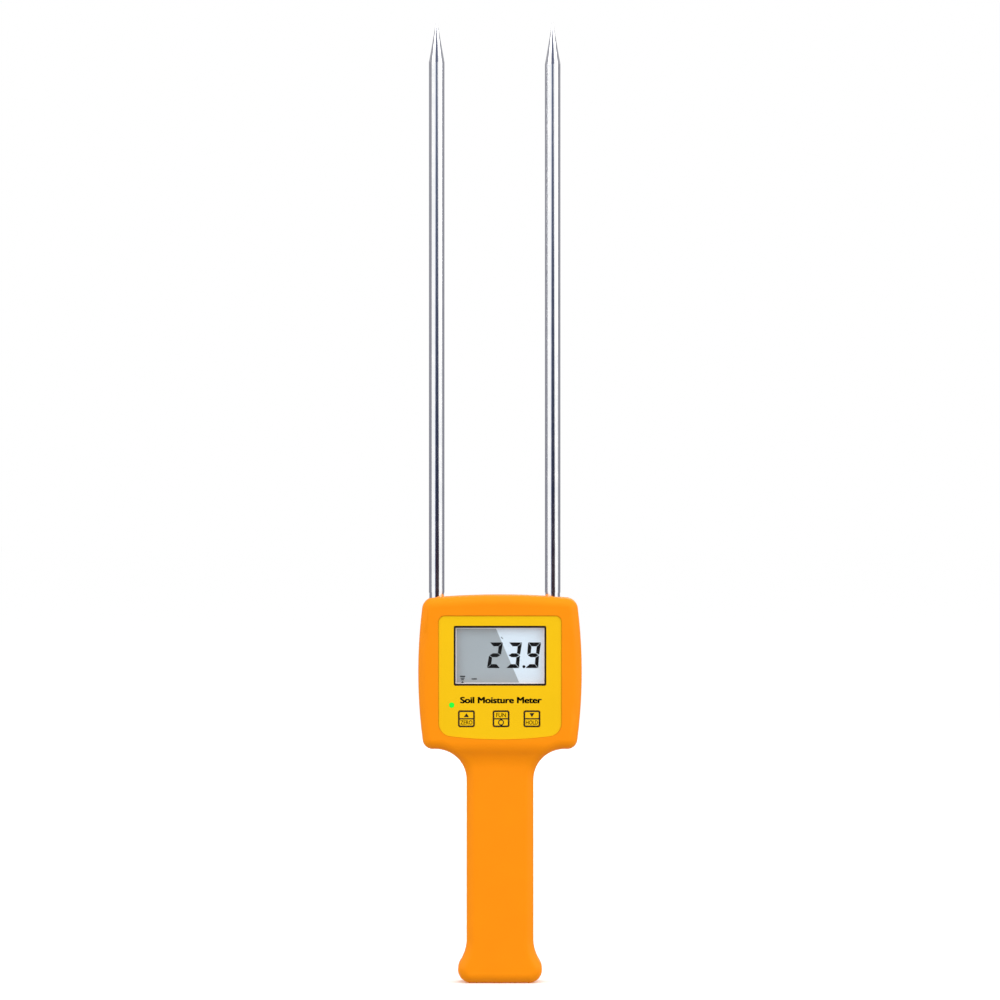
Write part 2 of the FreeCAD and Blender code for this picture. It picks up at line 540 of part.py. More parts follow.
def overlay_outline(sk, inset):
    """The right half of the front film's outline, moved in by inset."""
    n = number
    d = n(inset)
    half = n(OVERLAY_HALF)
    high_r, low_r = n("overlay_top_corner_radius"), n("overlay_low_corner_radius")
    bow_r = n("overlay_bottom_radius")
    bow_c = (0.0, n(OVERLAY_LOW) + bow_r)
    high_c = (half - high_r, n(OVERLAY_HIGH) - high_r)
    low_x = half - low_r
    low_c = (low_x, bow_c[1] - math.sqrt((bow_r - low_r) ** 2 - low_x**2))
    turn = angle_of(bow_c, low_c)
    bow = draw(sk, arc(bow_c, bow_r - d, -90, turn))
    low = draw(sk, arc(low_c, low_r - d, turn, 0))
    side = straight(sk, (half - d, low_c[1]), (half - d, high_c[1]))
    high = draw(sk, arc(high_c, high_r - d, 0, 90))
    top = straight(sk, (high_c[0], n(OVERLAY_HIGH) - d), (0, n(OVERLAY_HIGH) - d))
    middle = straight(sk, (0, n(OVERLAY_HIGH) - d), (0, n(OVERLAY_LOW) + d))
    join_smoothly(sk, [(bow, 1, 2), (low, 1, 2), (side, 1, 2), (high, 1, 2), (top, 1, 2)])
    sk.addConstraint(Sketcher.Constraint("Coincident", top, 2, middle, 1))
    sk.addConstraint(Sketcher.Constraint("Coincident", middle, 2, bow, 1))
    sk.addConstraint(Sketcher.Constraint("Vertical", side))
    sk.addConstraint(Sketcher.Constraint("Horizontal", top))
    fix(sk, "Radius", (bow,), f"overlay_bottom_radius - {inset}")
    fix(sk, "Radius", (low,), f"overlay_low_corner_radius - {inset}")
    fix(sk, "Radius", (high,), f"overlay_top_corner_radius - {inset}")
    fix_point(sk, bow, 3, "0", f"{OVERLAY_LOW} + overlay_bottom_radius")
    fix_point(sk, middle, 1, "0", f"{OVERLAY_HIGH} - {inset}")
    sk.addConstraint(Sketcher.Constraint("PointOnObject", middle, 2, -2))
    fix(sk, "DistanceX", (-1, 1, side, 1), f"{OVERLAY_HALF} - {inset}")


# Bodies and features


def new_body(name, at=None, turn=UPRIGHT, is_node=True):
    """A body named for its piece. at moves the finished body, as three expressions."""
    body = doc.addObject("PartDesign::Body", name)
    body.Label = name
    body.Placement = Placement(Vector(), turn)
    if at:
        for axis, text in zip("xyz", at):
            bind(body, f"Placement.Base.{axis}", text)
    if is_node:
        nodes.append(body)
    return body


def pad(body, sk, length, reverse=False, both_sides=False):
    feature = body.newObject("PartDesign::Pad", f"{sk.Name}_pad")
    feature.Profile = sk
    feature.Reversed = reverse
    feature.Midplane = both_sides
    bind(feature, "Length", length)
    return feature


def pocket(body, sk, length, reverse=False, both_sides=False):
    feature = body.newObject("PartDesign::Pocket", f"{sk.Name}_pocket")
    feature.Profile = sk
    feature.Reversed = reverse
    feature.Midplane = both_sides
    bind(feature, "Length", length)
    return feature


def mirror(body, feature):
    """Repeats a feature on the other side of the middle plane."""
    copy = body.newObject("PartDesign::Mirrored", f"{feature.Name}_mirror")
    copy.Originals = [feature]
    copy.MirrorPlane = (next(o for o in body.Origin.OriginFeatures if o.Role == "YZ_Plane"), [""])
    body.Tip = copy
    return copy


def box(body, name, low, high, cut=False):
    """Adds or cuts a box between two corners, each three expressions."""
    feature = body.newObject(f"PartDesign::{'Subtractive' if cut else 'Additive'}Box", name)
    feature.Refine = False
    for prop, a, b in zip(("Length", "Width", "Height"), low, high):
        bind(feature, prop, f"({b}) - ({a})")
    for axis, text in zip("xyz", low):
        bind(feature, f"Placement.Base.{axis}", text)
    return feature


def plate(body, name, width, height, front, back, cut=False):
    """Adds or cuts a box that is centred on the display, between two depths."""
    low = (f"-{width} / 2", front, f"({WINDOW_HEIGHT} - {height} / 2)")
    box(body, name, low, (f"{width} / 2", back, f"({WINDOW_HEIGHT} + {height} / 2)"), cut=cut)


def rod(body, name, at, radius, length, turn=UPRIGHT, cut=False):
    """Adds or cuts a cylinder that starts at a point and runs along the turned Z axis."""
    feature = body.newObject(f"PartDesign::{'Subtractive' if cut else 'Additive'}Cylinder", name)
    feature.Refine = False
    bind(feature, "Radius", radius)
    bind(feature, "Height", length)
    feature.Placement = Placement(Vector(), turn)
    for axis, text in zip("xyz", at):
        bind(feature, f"Placement.Base.{axis}", text)
    return feature


def spin(body, sk):
    """A solid of revolution about the sketch's upright axis."""
    feature = body.newObject("PartDesign::Revolution", f"{sk.Name}_revolution")
    feature.Profile = sk
    feature.ReferenceAxis = (sk, ["V_Axis"])
    feature.Angle = 360
    return feature


def dress(body, kind, edges, size):
    """A Fillet or Chamfer on the last feature's edges that pass a test."""
    doc.recompute()
    base = body.Tip
    names = [f"Edge{i}" for i, edge in enumerate(base.Shape.Edges, start=1) if edges(edge)]
    if not names:
        raise RuntimeError(f"{body.Label}: no edge to {kind.lower()}")
    feature = body.newObject(f"PartDesign::{kind}", f"{body.Name}_{kind.lower()}")
    feature.Base = (base, names)
    bind(feature, "Radius" if kind == "Fillet" else "Size", size)
    return feature


def is_straight(edge, axis):
    """True for a straight edge along one axis."""
    if not isinstance(edge.Curve, Part.Line):
        return False
    return abs(abs(edge.Curve.Direction.dot(axis)) - 1) < 1e-6


# The housing


def step_outline(sk):
    """What is cut away in front of the grip: straight along the grip, then an S-curve up to the face."""
    n = number
    face, grip = n(FACE), -n(GRIP_BACK)
    hollow_r, convex_r = n("step_hollow_radius"), n("step_convex_radius")
    top, bottom = n("head_bottom + step_rise"), n(STEP_BOTTOM)
    turn = math.degrees(math.acos(1 - n(STEP) / n(STEP_TURN)))
    outside, below = face - 1, -1.0
    run = straight(sk, (grip, below), (grip, bottom))
    hollow = draw(sk, arc((grip - hollow_r, bottom), hollow_r, 0, turn))
    convex = draw(sk, arc((face + convex_r, top), convex_r, 180, 180 + turn))
    edge = straight(sk, (face, top), (outside, top))
    side = straight(sk, (outside, top), (outside, below))
    end = straight(sk, (outside, below), (grip, below))
    join_smoothly(sk, [(run, 1, 2), (hollow, 1, 2), (convex, 2, 1)])
    for a, a_end, b in ((convex, 1, edge), (edge, 2, side), (side, 2, end), (end, 2, run)):
        sk.addConstraint(Sketcher.Constraint("Coincident", a, a_end, b, 1))
    for geo, kind in ((run, "Vertical"), (edge, "Horizontal"), (side, "Vertical"), (end, "Horizontal")):
        sk.addConstraint(Sketcher.Constraint(kind, geo))
    fix(sk, "Radius", (hollow,), "step_hollow_radius")
    fix(sk, "Radius", (convex,), "step_convex_radius")
    fix_point(sk, convex, 3, f"{FACE} + step_convex_radius", "head_bottom + step_rise")
    fix(sk, "DistanceY", (-1, 1, edge, 1), "head_bottom + step_rise")
    fix(sk, "DistanceX", (-1, 1, run, 1), f"-{GRIP_BACK}")
    fix(sk, "DistanceX", (-1, 1, side, 1), f"{FACE} - 1")
    fix(sk, "DistanceY", (-1, 1, run, 1), "-1")


def is_rim(edge):
    """True for an edge round the face: off the seam, and neither along Y nor across the step."""
    if on_seam(edge) or is_straight(edge, Vector(0, 1, 0)):
        return False
    across = is_straight(edge, Vector(1, 0, 0))
    ends = (0, number("head_bottom"))
    return not across or any(abs(edge.BoundBox.ZMin - end) < 1e-6 for end in ends)


def on_seam(edge):
    return all(abs(v.Y) < 1e-6 for v in edge.Vertexes)


def make_housing_forms():
    """The front half of the housing as a solid, and its mirror image behind the seam."""
    form = new_body("housing_form", is_node=False)
    outline = new_sketch(form, "housing_outline", "XZ_Plane")
    housing_outline(outline, "0")
    mirror(form, pad(form, outline, "head_thickness / 2"))
    step = new_sketch(form, "housing_step", "YZ_Plane")
    step_outline(step)
    pocket(form, step, "2 * head_width", both_sides=True)
    dress(form, "Fillet", is_rim, "rim_radius")
    dress(form, "Chamfer", on_seam, "seam_chamfer")
    rear_form = doc.addObject("Part::Mirroring", "rear_form")
    rear_form.Source = form
    rear_form.Normal = Vector(0, 1, 0)
    doc.recompute()
    return form, rear_form


def hollow_out(cover, front):
    """The hollow of a cover: shallow everywhere, and deep in the middle of the head."""
    hollow = new_sketch(cover, f"{cover.Name}_hollow", "XZ_Plane")
    housing_outline(hollow, "wall")
    mirror(cover, pocket(cover, hollow, f"{GRIP_BACK} - wall", reverse=front))
    deep = new_sketch(cover, f"{cover.Name}_deep_hollow", "XZ_Plane")
    width = "(head_width - 2 * wall - 2 * cavity_margin)"
    height = "(head_top - head_bottom - 2 * wall - 2 * cavity_margin)"
    rounded_rectangle(deep, ("0", HEAD_MIDDLE), width, height, "cavity_corner")
    pocket(cover, deep, "head_thickness / 2 - face_wall", reverse=front)


def probe_collars(cover):
    """Collars under the top of the head, whole here and cut along the seam later."""
    for side, across in PROBES.items():
        place = (across, "0", "head_top - collar_drop")
        rod(cover, f"{cover.Name}_{side}_collar", place, f"{NECK} + collar_wall", f"collar_{side}_height")


def probe_holes(cover):
    """Holes for the rods, with grooves for their seals."""
    for side, across in PROBES.items():
        place = (across, "0", "head_top - collar_drop - 1")
        radius = f"{NECK} + probe_hole_gap"
        rod(cover, f"{cover.Name}_{side}_hole", place, radius, "collar_drop + 2", cut=True)
        place = (across, "0", SEAL_BOTTOM)
        rod(cover, f"{cover.Name}_{side}_groove", place, f"{NECK} + seal_width", "seal_height", cut=True)


def make_front_cover(form):
    cover = new_body("front_cover")
    cover.BaseFeature = form
    hollow_out(cover, front=True)
    recess = new_sketch(cover, "film_recess", "XZ_Plane", f"-{FACE}")
    overlay_outline(recess, "0")
    mirror(cover, pocket(cover, recess, "overlay_recess"))
    display_openings(cover)
    key_openings(cover)
    for i, (across, height) in enumerate(BOARD_HOLES, start=1):
        place = (across, FACE_INSIDE, height)
        rod(cover, f"board_boss_{i}", place, "board_boss_radius", f"{BOARD_FRONT} - {FACE_INSIDE}", ALONG_Y)
        depth = "(board_screw_length - board_thickness + pilot_spare)"
        place = (across, f"{BOARD_FRONT} - {depth}", height)
        rod(cover, f"board_pilot_{i}", place, "board_screw_radius", depth, ALONG_Y, cut=True)
    ends = [(*post, f"({FACE_INSIDE} - face_wall / 2)") for post in HEAD_POSTS]
    ends += [(*post, f"(-{GRIP_BACK} + wall / 2)") for post in BASE_POSTS]
    for i, (across, height, end) in enumerate(ends, start=1):
        place = (across, end, height)
        rod(cover, f"front_post_{i}", place, "front_post_radius", f"-post_gap / 2 - {end}", ALONG_Y)
        depth = "(screw_length - screw_seat + pilot_spare)"
        place = (across, f"-{depth}", height)
        rod(cover, f"front_pilot_{i}", place, "screw_radius", depth, ALONG_Y, cut=True)
    probe_collars(cover)
    low, high = (f"-{HALF_HEAD}", "0", "head_bottom"), (HALF_HEAD, BACK, "head_top")
    box(cover, "front_seam_trim", low, high, cut=True)
    probe_holes(cover)


def display_openings(cover):
    """The window's seat, and the clear opening through it."""
    for name, margin, depth in (
        ("window_seat", "2 * window_ledge", "overlay_recess + window_thickness"),
        ("window_opening", "0", "face_wall + 1"),
    ):
        sk = new_sketch(cover, name, "XZ_Plane", f"-{FACE}")
        width, height = f"(window_width + {margin})", f"(window_height + {margin})"
        rounded_rectangle(sk, ("0", WINDOW_HEIGHT), width, height, "window_corner")
        pocket(cover, sk, depth)


def key_openings(cover):
    """A well under each key cap, and round holes for the keys' stems and the light pipe."""
    wells = new_sketch(cover, "key_wells", "XZ_Plane", f"-{FACE}")
    for across in KEYS.values():
        square(wells, (across, KEY_HEIGHT), "(key_size + 2 * key_gap)")
    pocket(cover, wells, "overlay_recess + key_well")
    holes = new_sketch(cover, "key_holes", "XZ_Plane", f"-{FACE}")
    for across in KEYS.values():
        circle(holes, across, KEY_HEIGHT, "plunger_radius + key_hole_gap")
    circle(holes, "-led_offset", LED_HEIGHT, "light_pipe_radius + film_gap")
    pocket(cover, holes, "face_wall + 1")


def make_rear_cover(rear_form):
    cover = new_body("rear_cover")
    cover.BaseFeature = rear_form
    hollow_out(cover, front=False)
    recess = new_sketch(cover, "label_seat", "XZ_Plane", f"-{BACK}")
    centre = ("0", "(head_top - label_drop)")
    rounded_rectangle(recess, centre, "label_width", "label_height", "label_corner")
    pocket(cover, recess, "label_recess", reverse=True)
    for i, (across, height) in enumerate(HEAD_POSTS, start=1):
        rear_post(cover, f"head_{i}", across, height, f"{BACK_INSIDE} + face_wall / 2")
    for i, (across, height) in enumerate(BASE_POSTS, start=1):
        rear_post(cover, f"base_{i}", across, height, f"{GRIP_BACK} - wall / 2")
    for i, (across, height) in enumerate(BLOCK_SCREWS, start=1):
        place = (across, "block_back", height)
        rod(cover, f"block_boss_{i}", place, "block_boss_radius", f"{BACK_INSIDE} - block_back", ALONG_Y)
        tip = f"({BLOCK_SEAT} + block_screw_length + pilot_spare)"
        rod(cover, f"block_pilot_{i}", place, "screw_radius", f"{tip} - block_back", ALONG_Y, cut=True)
    probe_collars(cover)
    low, high = (f"-{HALF_HEAD}", FACE, "head_bottom"), (HALF_HEAD, "0", "head_top")
    box(cover, "rear_seam_trim", low, high, cut=True)
    probe_holes(cover)
    battery_bay(cover)
    door_opening(cover)


def rear_post(cover, name, across, height, end):
    """A post from the seam to the back wall, with the screw's clearance hole and the seat for its head."""
    place = (across, "post_gap / 2", height)
    rod(cover, f"{name}_post", place, "rear_post_radius", f"{end} - post_gap / 2", ALONG_Y)
    radius = "screw_radius + fit_gap"
    rod(cover, f"{name}_hole", (across, "0", height), radius, "screw_seat", ALONG_Y, cut=True)
    place = (across, "screw_seat", height)
    rod(cover, f"{name}_seat", place, "screw_head_radius + counterbore_gap", BACK, ALONG_Y, cut=True)


def battery_bay(cover):
    """A trough for the cells between the handle's side walls, with a ledge for the door all round."""
    half = f"({BAY_HALF} + bay_wall)"
    low = (f"-{half}", f"{BAY_FLOOR} - bay_wall", "bay_bottom - bay_wall")
    box(cover, "bay_walls", low, (half, DOOR_SEAT, f"({BAY_TOP} + bay_wall)"))
    side = "(handle_width / 2 - wall / 2)"
    low = (f"-{side}", f"{DOOR_SEAT} - ledge_thickness", "(door_bottom - ledge_thickness)")
    box(cover, "door_ledge", low, (side, DOOR_SEAT, f"({HINGE_HEIGHT} + ear_height)"))
    low = (f"-{BAY_HALF}", BAY_FLOOR, "bay_bottom")
    box(cover, "bay", low, (BAY_HALF, DOOR_INSIDE, BAY_TOP), cut=True)
    for side, sign in (("left", "-"), ("right", "")):
        tab = "(contact_tab_width / 2 + fit_gap)"
        tab_front = f"{TAB_BACK} - contact_thickness - fit_gap"
        low = (f"({sign}{CELL_OFFSET} - {tab})", tab_front, f"({BAY_TOP} - 1)")
        high = (f"({sign}{CELL_OFFSET} + {tab})", f"{TAB_BACK} + fit_gap", f"({BAY_TOP} + bay_wall + 1)")
        box(cover, f"{side}_tab_slot", low, high, cut=True)


def door_outline(sk, gap, neck, top):
    """The door's outline grown by gap: full width up to neck, then narrow between the hinge's lugs."""
    wide, narrow = f"(door_width / 2 + {gap})", f"(knuckle_width / 2 + {gap})"
    low = f"(door_bottom - {gap})"
    right = [(wide, low), (wide, neck), (narrow, neck), (narrow, top)]
    left = [(f"-{across}", height) for across, height in reversed(right)]
    polygon(sk, right + left)


def door_opening(cover):
    """The opening in the back of the grip, the room for the hinge, and the catch's slot and thumb notch."""
    opening = new_sketch(cover, "door_opening", "XZ_Plane", f"-{DOOR_SEAT}")
    top = f"({HINGE_HEIGHT} + knuckle_radius + door_gap)"
    door_outline(opening, "door_gap", f"({HINGE_HEIGHT} - ear_height)", top)
    pocket(cover, opening, f"{BACK} - {DOOR_SEAT}")
    half = "(knuckle_width / 2 + door_gap)"
    place = (f"-{half}", HINGE_DEPTH, HINGE_HEIGHT)
    rod(cover, "knuckle_room", place, "knuckle_radius + door_gap", f"2 * {half}", ALONG_X, cut=True)
    half = "(knuckle_width / 2 + hinge_pin_length + hinge_pin_gap)"
    place = (f"-{half}", HINGE_DEPTH, HINGE_HEIGHT)
    rod(cover, "hinge_sockets", place, "hinge_pin_radius + hinge_pin_gap", f"2 * {half}", ALONG_X, cut=True)
    side = "(tongue_width / 2 + tongue_gap)"
    low = (f"-{side}", f"{DOOR_INSIDE} - tongue_length - tongue_gap", "(door_bottom - door_gap)")
    high = (side, DOOR_INSIDE, "(door_bottom + door_gap + tongue_thickness + tongue_gap)")
    box(cover, "tongue_slot", low, high, cut=True)
    place = ("0", f"{GRIP_BACK} - notch_depth", "door_bottom")
    rod(cover, "thumb_notch", place, "notch_radius", "2 * notch_depth", ALONG_Y, cut=True)


def make_battery_door(rear_form):
    """The door follows the back of the grip. It turns about two pins at its upper end."""
    door = new_body("battery_door")
    door.BaseFeature = rear_form
    outline = new_sketch(door, "outside_the_door", "XZ_Plane")
    far_up = "(head_top + head_bottom)"
    polygon(outline, [("-head_width", "-head_bottom"), ("head_width", "-head_bottom"),
                      ("head_width", far_up), ("-head_width", far_up)])
    door_outline(outline, "0", f"({HINGE_HEIGHT} - ear_height - ear_gap)", HINGE_HEIGHT)
    pocket(door, outline, "head_thickness")
    high = ("head_width", DOOR_INSIDE, "head_top")
    box(door, "inside_the_door", ("-head_width", "-1", "-1"), high, cut=True)
    place = ("-knuckle_width / 2", HINGE_DEPTH, HINGE_HEIGHT)
    rod(door, "knuckle", place, "knuckle_radius", "knuckle_width", ALONG_X)
    half = "(knuckle_width / 2 + hinge_pin_length)"
    place = (f"-{half}", HINGE_DEPTH, HINGE_HEIGHT)
    rod(door, "hinge_pins", place, "hinge_pin_radius", f"2 * {half}", ALONG_X)
    low = ("-tongue_width / 2", f"{DOOR_INSIDE} - tongue_length", "(door_bottom + door_gap)")
    tongue_top = "(door_bottom + door_gap + tongue_thickness)"
    high = ("tongue_width / 2", f"{DOOR_INSIDE} + door_thickness / 2", tongue_top)
    box(door, "snap_tongue", low, high)
    for i in (1, 2):
        height = f"(bay_bottom + {i} * cell_length - cell_length / 2)"
        low = (f"-{CELL_OFFSET}", f"{DOOR_INSIDE} - cell_cover + cell_gap", height)
        high = (CELL_OFFSET, f"{DOOR_INSIDE} + door_thickness / 2", f"{height} + door_rib_thickness")
        box(door, f"cell_rib_{i}", low, high)
    for i in range(5):
        height = f"(door_bottom + grip_rib_start + {i} * grip_rib_pitch)"
        low = ("-grip_rib_width / 2", f"{GRIP_BACK} - door_thickness / 2", height)
        high = ("grip_rib_width / 2", f"{GRIP_BACK} + grip_rib_height", f"{height} + grip_rib_thickness")
        box(door, f"grip_rib_{i + 1}", low, high)


def make_cover_screws():
    screws = new_body("cover_screws")
    for i, (across, height) in enumerate(HEAD_POSTS + BASE_POSTS, start=1):
        screw(screws, f"cover_screw_{i}", (across, "screw_seat", height), "cover", head_behind=True)


SCREWS = {  # thread radius, length, head radius, head height
    "cover": ("screw_radius", "screw_length", "screw_head_radius", "screw_head_height"),
    "block": ("screw_radius", "block_screw_length", "screw_head_radius", "screw_head_height"),
    "board": ("board_screw_radius", "board_screw_length", "board_screw_head_radius",
              "board_screw_head_height"),
}


def screw(body, name, seat, kind, head_behind):
    """A pan-head screw along Y, its head bearing at seat, behind it or in front of it."""
    radius, length, head_radius, head_height = SCREWS[kind]
    across, depth, height = seat
    shank_start = f"({depth} - {length})" if head_behind else depth
    head_start = depth if head_behind else f"({depth} - {head_height})"
    cross_start = f"({depth} + {head_height} - cross_depth)" if head_behind else head_start
    rod(body, f"{name}_shank", (across, shank_start, height), radius, length, ALONG_Y)
    rod(body, f"{name}_head", (across, head_start, height), head_radius, head_height, ALONG_Y)
    reach, half = f"{head_radius} * cross_share", "cross_width / 2"
    for arm, x, z in (("across", reach, half), ("upright", half, reach)):
        low = (f"({across} - {x})", cross_start, f"({height} - {z})")
        high = (f"({across} + {x})", f"({cross_start} + cross_depth)", f"({height} + {z})")
        box(body, f"{name}_{arm}", low, high, cut=True)


# The display and the keys


def make_face_overlay():
    film = new_body("face_overlay")
    outline = new_sketch(film, "film_outline", "XZ_Plane", f"-{FILM_BACK}")
    overlay_outline(outline, "film_gap")
    mirror(film, pad(film, outline, "overlay_film"))
    openings = new_sketch(film, "film_openings", "XZ_Plane", f"-{FILM_FRONT}")
    width, height = "(window_width + 2 * film_window_margin)", "(window_height + 2 * film_window_margin)"
    rounded_rectangle(openings, ("0", WINDOW_HEIGHT), width, height, "window_corner")
    for across in KEYS.values():
        square(openings, (across, KEY_HEIGHT), "(key_size + 2 * key_gap)")
    circle(openings, "-led_offset", LED_HEIGHT, "light_pipe_radius + film_gap")
    pocket(film, openings, "2 * overlay_film")


def make_display():
    window = new_body("display_window")
    sk = new_sketch(window, "window_outline", "XZ_Plane", f"-({FILM_BACK} + window_thickness)")
    width = "(window_width + 2 * window_ledge - 2 * fit_gap)"
    height = "(window_height + 2 * window_ledge - 2 * fit_gap)"
    rounded_rectangle(sk, ("0", WINDOW_HEIGHT), width, height, "window_corner")
    pad(window, sk, "window_thickness")

    glass = new_body("lcd_glass")
    middle = f"({LCD_FRONT} + lcd_thickness / 2)"
    plate(glass, "rear_sheet", "lcd_width", "lcd_height", middle, LCD_BACK)
    plate(glass, "front_sheet", "lcd_width", "lcd_front_height", LCD_FRONT, middle)

    frame = new_body("lcd_frame")
    front = f"({LCD_FRONT} + lcd_frame_lip)"
    plate(frame, "frame_block", LCD_FRAME_WIDTH, LCD_FRAME_HEIGHT, front, BOARD_FRONT)
    seat_width, seat_height = "(lcd_width + 2 * fit_gap)", "(lcd_height + 2 * fit_gap)"
    plate(frame, "glass_seat", seat_width, seat_height, LCD_FRONT, LCD_BACK, cut=True)
    floor = f"({LCD_BACK} + lcd_frame_floor)"
    plate(frame, "frame_hollow", "lcd_width", "lcd_height", floor, BOARD_FRONT, cut=True)
    strips = new_body("connector_strips")
    for name, sign in (("upper", ""), ("lower", "-")):
        middle = f"({WINDOW_HEIGHT} + {sign}(lcd_height / 2 - strip_inset - strip_width / 2))"
        for body, cut, gap in ((frame, True, "fit_gap"), (strips, False, "0")):
            low = (f"-(strip_length / 2 + {gap})", LCD_BACK, f"({middle} - strip_width / 2 - {gap})")
            high = (f"(strip_length / 2 + {gap})", BOARD_FRONT, f"({middle} + strip_width / 2 + {gap})")
            box(body, f"{name}_strip_in_{body.Name}", low, high, cut=cut)
    for i, (across, height) in enumerate(frame_pegs(), start=1):
        place = (across, f"{BOARD_FRONT} - 1", height)
        rod(frame, f"peg_{i}", place, "peg_radius", "board_thickness + 1", ALONG_Y)


def frame_pegs():
    """Where the pegs of the display's frame go through the board."""
    across = f"({LCD_FRAME_WIDTH} / 2 - lcd_frame_wall / 2)"
    up = f"({LCD_FRAME_HEIGHT} / 2 - lcd_frame_wall / 2)"
    return [(f"({x}{across})", f"({WINDOW_HEIGHT} {z} {up})") for x in ("-", "") for z in "-+"]


def make_keys():
    for key, across in KEYS.items():
        cap = new_body(f"key_{key}")
        tile = new_sketch(cap, f"{key}_tile", "XZ_Plane", f"-{FILM_BACK}")
        rounded_rectangle(tile, (across, KEY_HEIGHT), "key_size", "key_size", "key_corner")
        pad(cap, tile, "overlay_film")
        place = (across, f"{FILM_BACK} - overlay_film / 2", KEY_HEIGHT)
        length = f"{COLLAR_FRONT} - {FILM_BACK} + overlay_film / 2"
        rod(cap, f"{key}_stem", place, "plunger_radius", length, ALONG_Y)

        plunger = new_body(f"switch_plunger_{key}")
        place = (across, COLLAR_FRONT, KEY_HEIGHT)
        rod(plunger, f"{key}_collar", place, "plunger_collar_radius", "plunger_collar_thickness", ALONG_Y)
        rod(plunger, f"{key}_plunger", place, "plunger_radius",
            f"{SWITCH_FRONT} + plunger_in_switch - {COLLAR_FRONT}", ALONG_Y)

        switch = new_body(f"switch_body_{key}")
        half = "switch_size / 2"
        low = (f"({across} - {half})", SWITCH_FRONT, f"({KEY_HEIGHT} - {half})")
        high = (f"({across} + {half})", BOARD_FRONT, f"({KEY_HEIGHT} + {half})")
        box(switch, f"{key}_switch", low, high)
        place = (across, SWITCH_FRONT, KEY_HEIGHT)
        rod(switch, f"{key}_bore", place, "plunger_radius + running_gap", "switch_bore", ALONG_Y, cut=True)


def make_indicator():
    led = new_body("status_led")
    low = ("(-led_offset - led_length / 2)", LED_FRONT, f"({LED_HEIGHT} - led_width / 2)")
    high = ("(-led_offset + led_length / 2)", BOARD_FRONT, f"({LED_HEIGHT} + led_width / 2)")
    box(led, "led_block", low, high)
    pipe = new_body("light_pipe")
    length = f"{LED_FRONT} - led_gap - {FILM_FRONT}"
    rod(pipe, "pipe_core", ("-led_offset", FILM_FRONT, LED_HEIGHT), "light_pipe_radius", length, ALONG_Y)
    place = ("-led_offset", FACE_INSIDE, LED_HEIGHT)
    rod(pipe, "pipe_collar", place, "light_pipe_collar_radius", "light_pipe_collar", ALONG_Y)


# The circuit board


def make_main_board():
    board = new_body("main_board")
    sk = new_sketch(board, "board_outline", "XZ_Plane", f"-{BOARD_BACK}")
    middle, height = f"(({BOARD_LOW} + {BOARD_HIGH}) / 2)", f"({BOARD_HIGH} - {BOARD_LOW})"
    rounded_rectangle(sk, ("0", middle), f"(2 * {BOARD_HALF})", height, "board_corner")
    pad(board, sk, "board_thickness")
    holes = new_sketch(board, "board_holes", "XZ_Plane", f"-{BOARD_FRONT}")
    for across, height in BOARD_HOLES:
        circle(holes, across, height, "board_screw_radius + fit_gap")
    for across, height in frame_pegs():
        circle(holes, across, height, "peg_radius + peg_gap")
    pocket(board, holes, "2 * board_thickness")

    screws = new_body("board_screws")
    for i, (across, height) in enumerate(BOARD_HOLES, start=1):
        screw(screws, f"board_screw_{i}", (across, BOARD_BACK, height), "board", head_behind=True)


def make_board_parts():
    chip = new_body("microcontroller")
    middle = "(head_top - chip_drop)"
    low = ("-chip_size / 2", f"{BOARD_BACK} + chip_lift", f"({middle} - chip_size / 2)")
    high = ("chip_size / 2", f"({BOARD_BACK} + chip_thickness)", f"({middle} + chip_size / 2)")
    box(chip, "chip_body", low, high)
    reach, half = "(chip_size / 2 + chip_pin_reach)", "chip_pin_width / 2"
    top = f"({BOARD_BACK} + chip_pin_width)"
    for i in range(-3, 4):
        start, end = f"{i} * chip_pin_pitch - {half}", f"{i} * chip_pin_pitch + {half}"
        low, high = (f"-{reach}", BOARD_BACK, f"{middle} + {start}"), (reach, top, f"{middle} + {end}")
        box(chip, f"side_pins_{i + 4}", low, high)
        low, high = (start, BOARD_BACK, f"{middle} - {reach}"), (end, top, f"{middle} + {reach}")
        box(chip, f"end_pins_{i + 4}", low, high)

    small = new_body("surface_mount_parts")
    rows = (f"({middle} + chip_size)", f"({middle} - chip_size - chip_pin_reach)")
    for row, height in enumerate(rows, start=1):
        for i in range(-3, 4):
            across = f"({i} * small_part_pitch)"
            low = (f"({across} - small_part_width / 2)", BOARD_BACK, f"({height} - small_part_length / 2)")
            high = (f"({across} + small_part_width / 2)", f"({BOARD_BACK} + small_part_height)",
                    f"({height} + small_part_length / 2)")
            box(small, f"small_part_{row}_{i + 4}", low, high)


# The probes


def make_probes():
    for side, across in PROBES.items():
        probe = new_body(f"probe_{side}", at=(across, "0", "0"))
        tip = "overall_length" if side == "left" else "(overall_length - probe_right_shorter)"
        stud_end = f"({BLOCK_TOP} - stud_length)"
        sk = new_sketch(probe, f"{side}_profile", "XZ_Plane")
        polygon(sk, [
            ("0", stud_end),
            ("stud_radius - stud_chamfer", stud_end),
            ("stud_radius", f"{stud_end} + stud_chamfer"),
            ("stud_radius", BLOCK_TOP),
            (NECK, BLOCK_TOP),
            (NECK, "(head_top + probe_neck_reach)"),
            ("probe_radius", "(head_top + probe_neck_reach)"),
            ("probe_radius", f"{tip} - probe_cone"),
            ("probe_tip_radius", tip),
            ("0", tip),
        ])
        spin(probe, sk)


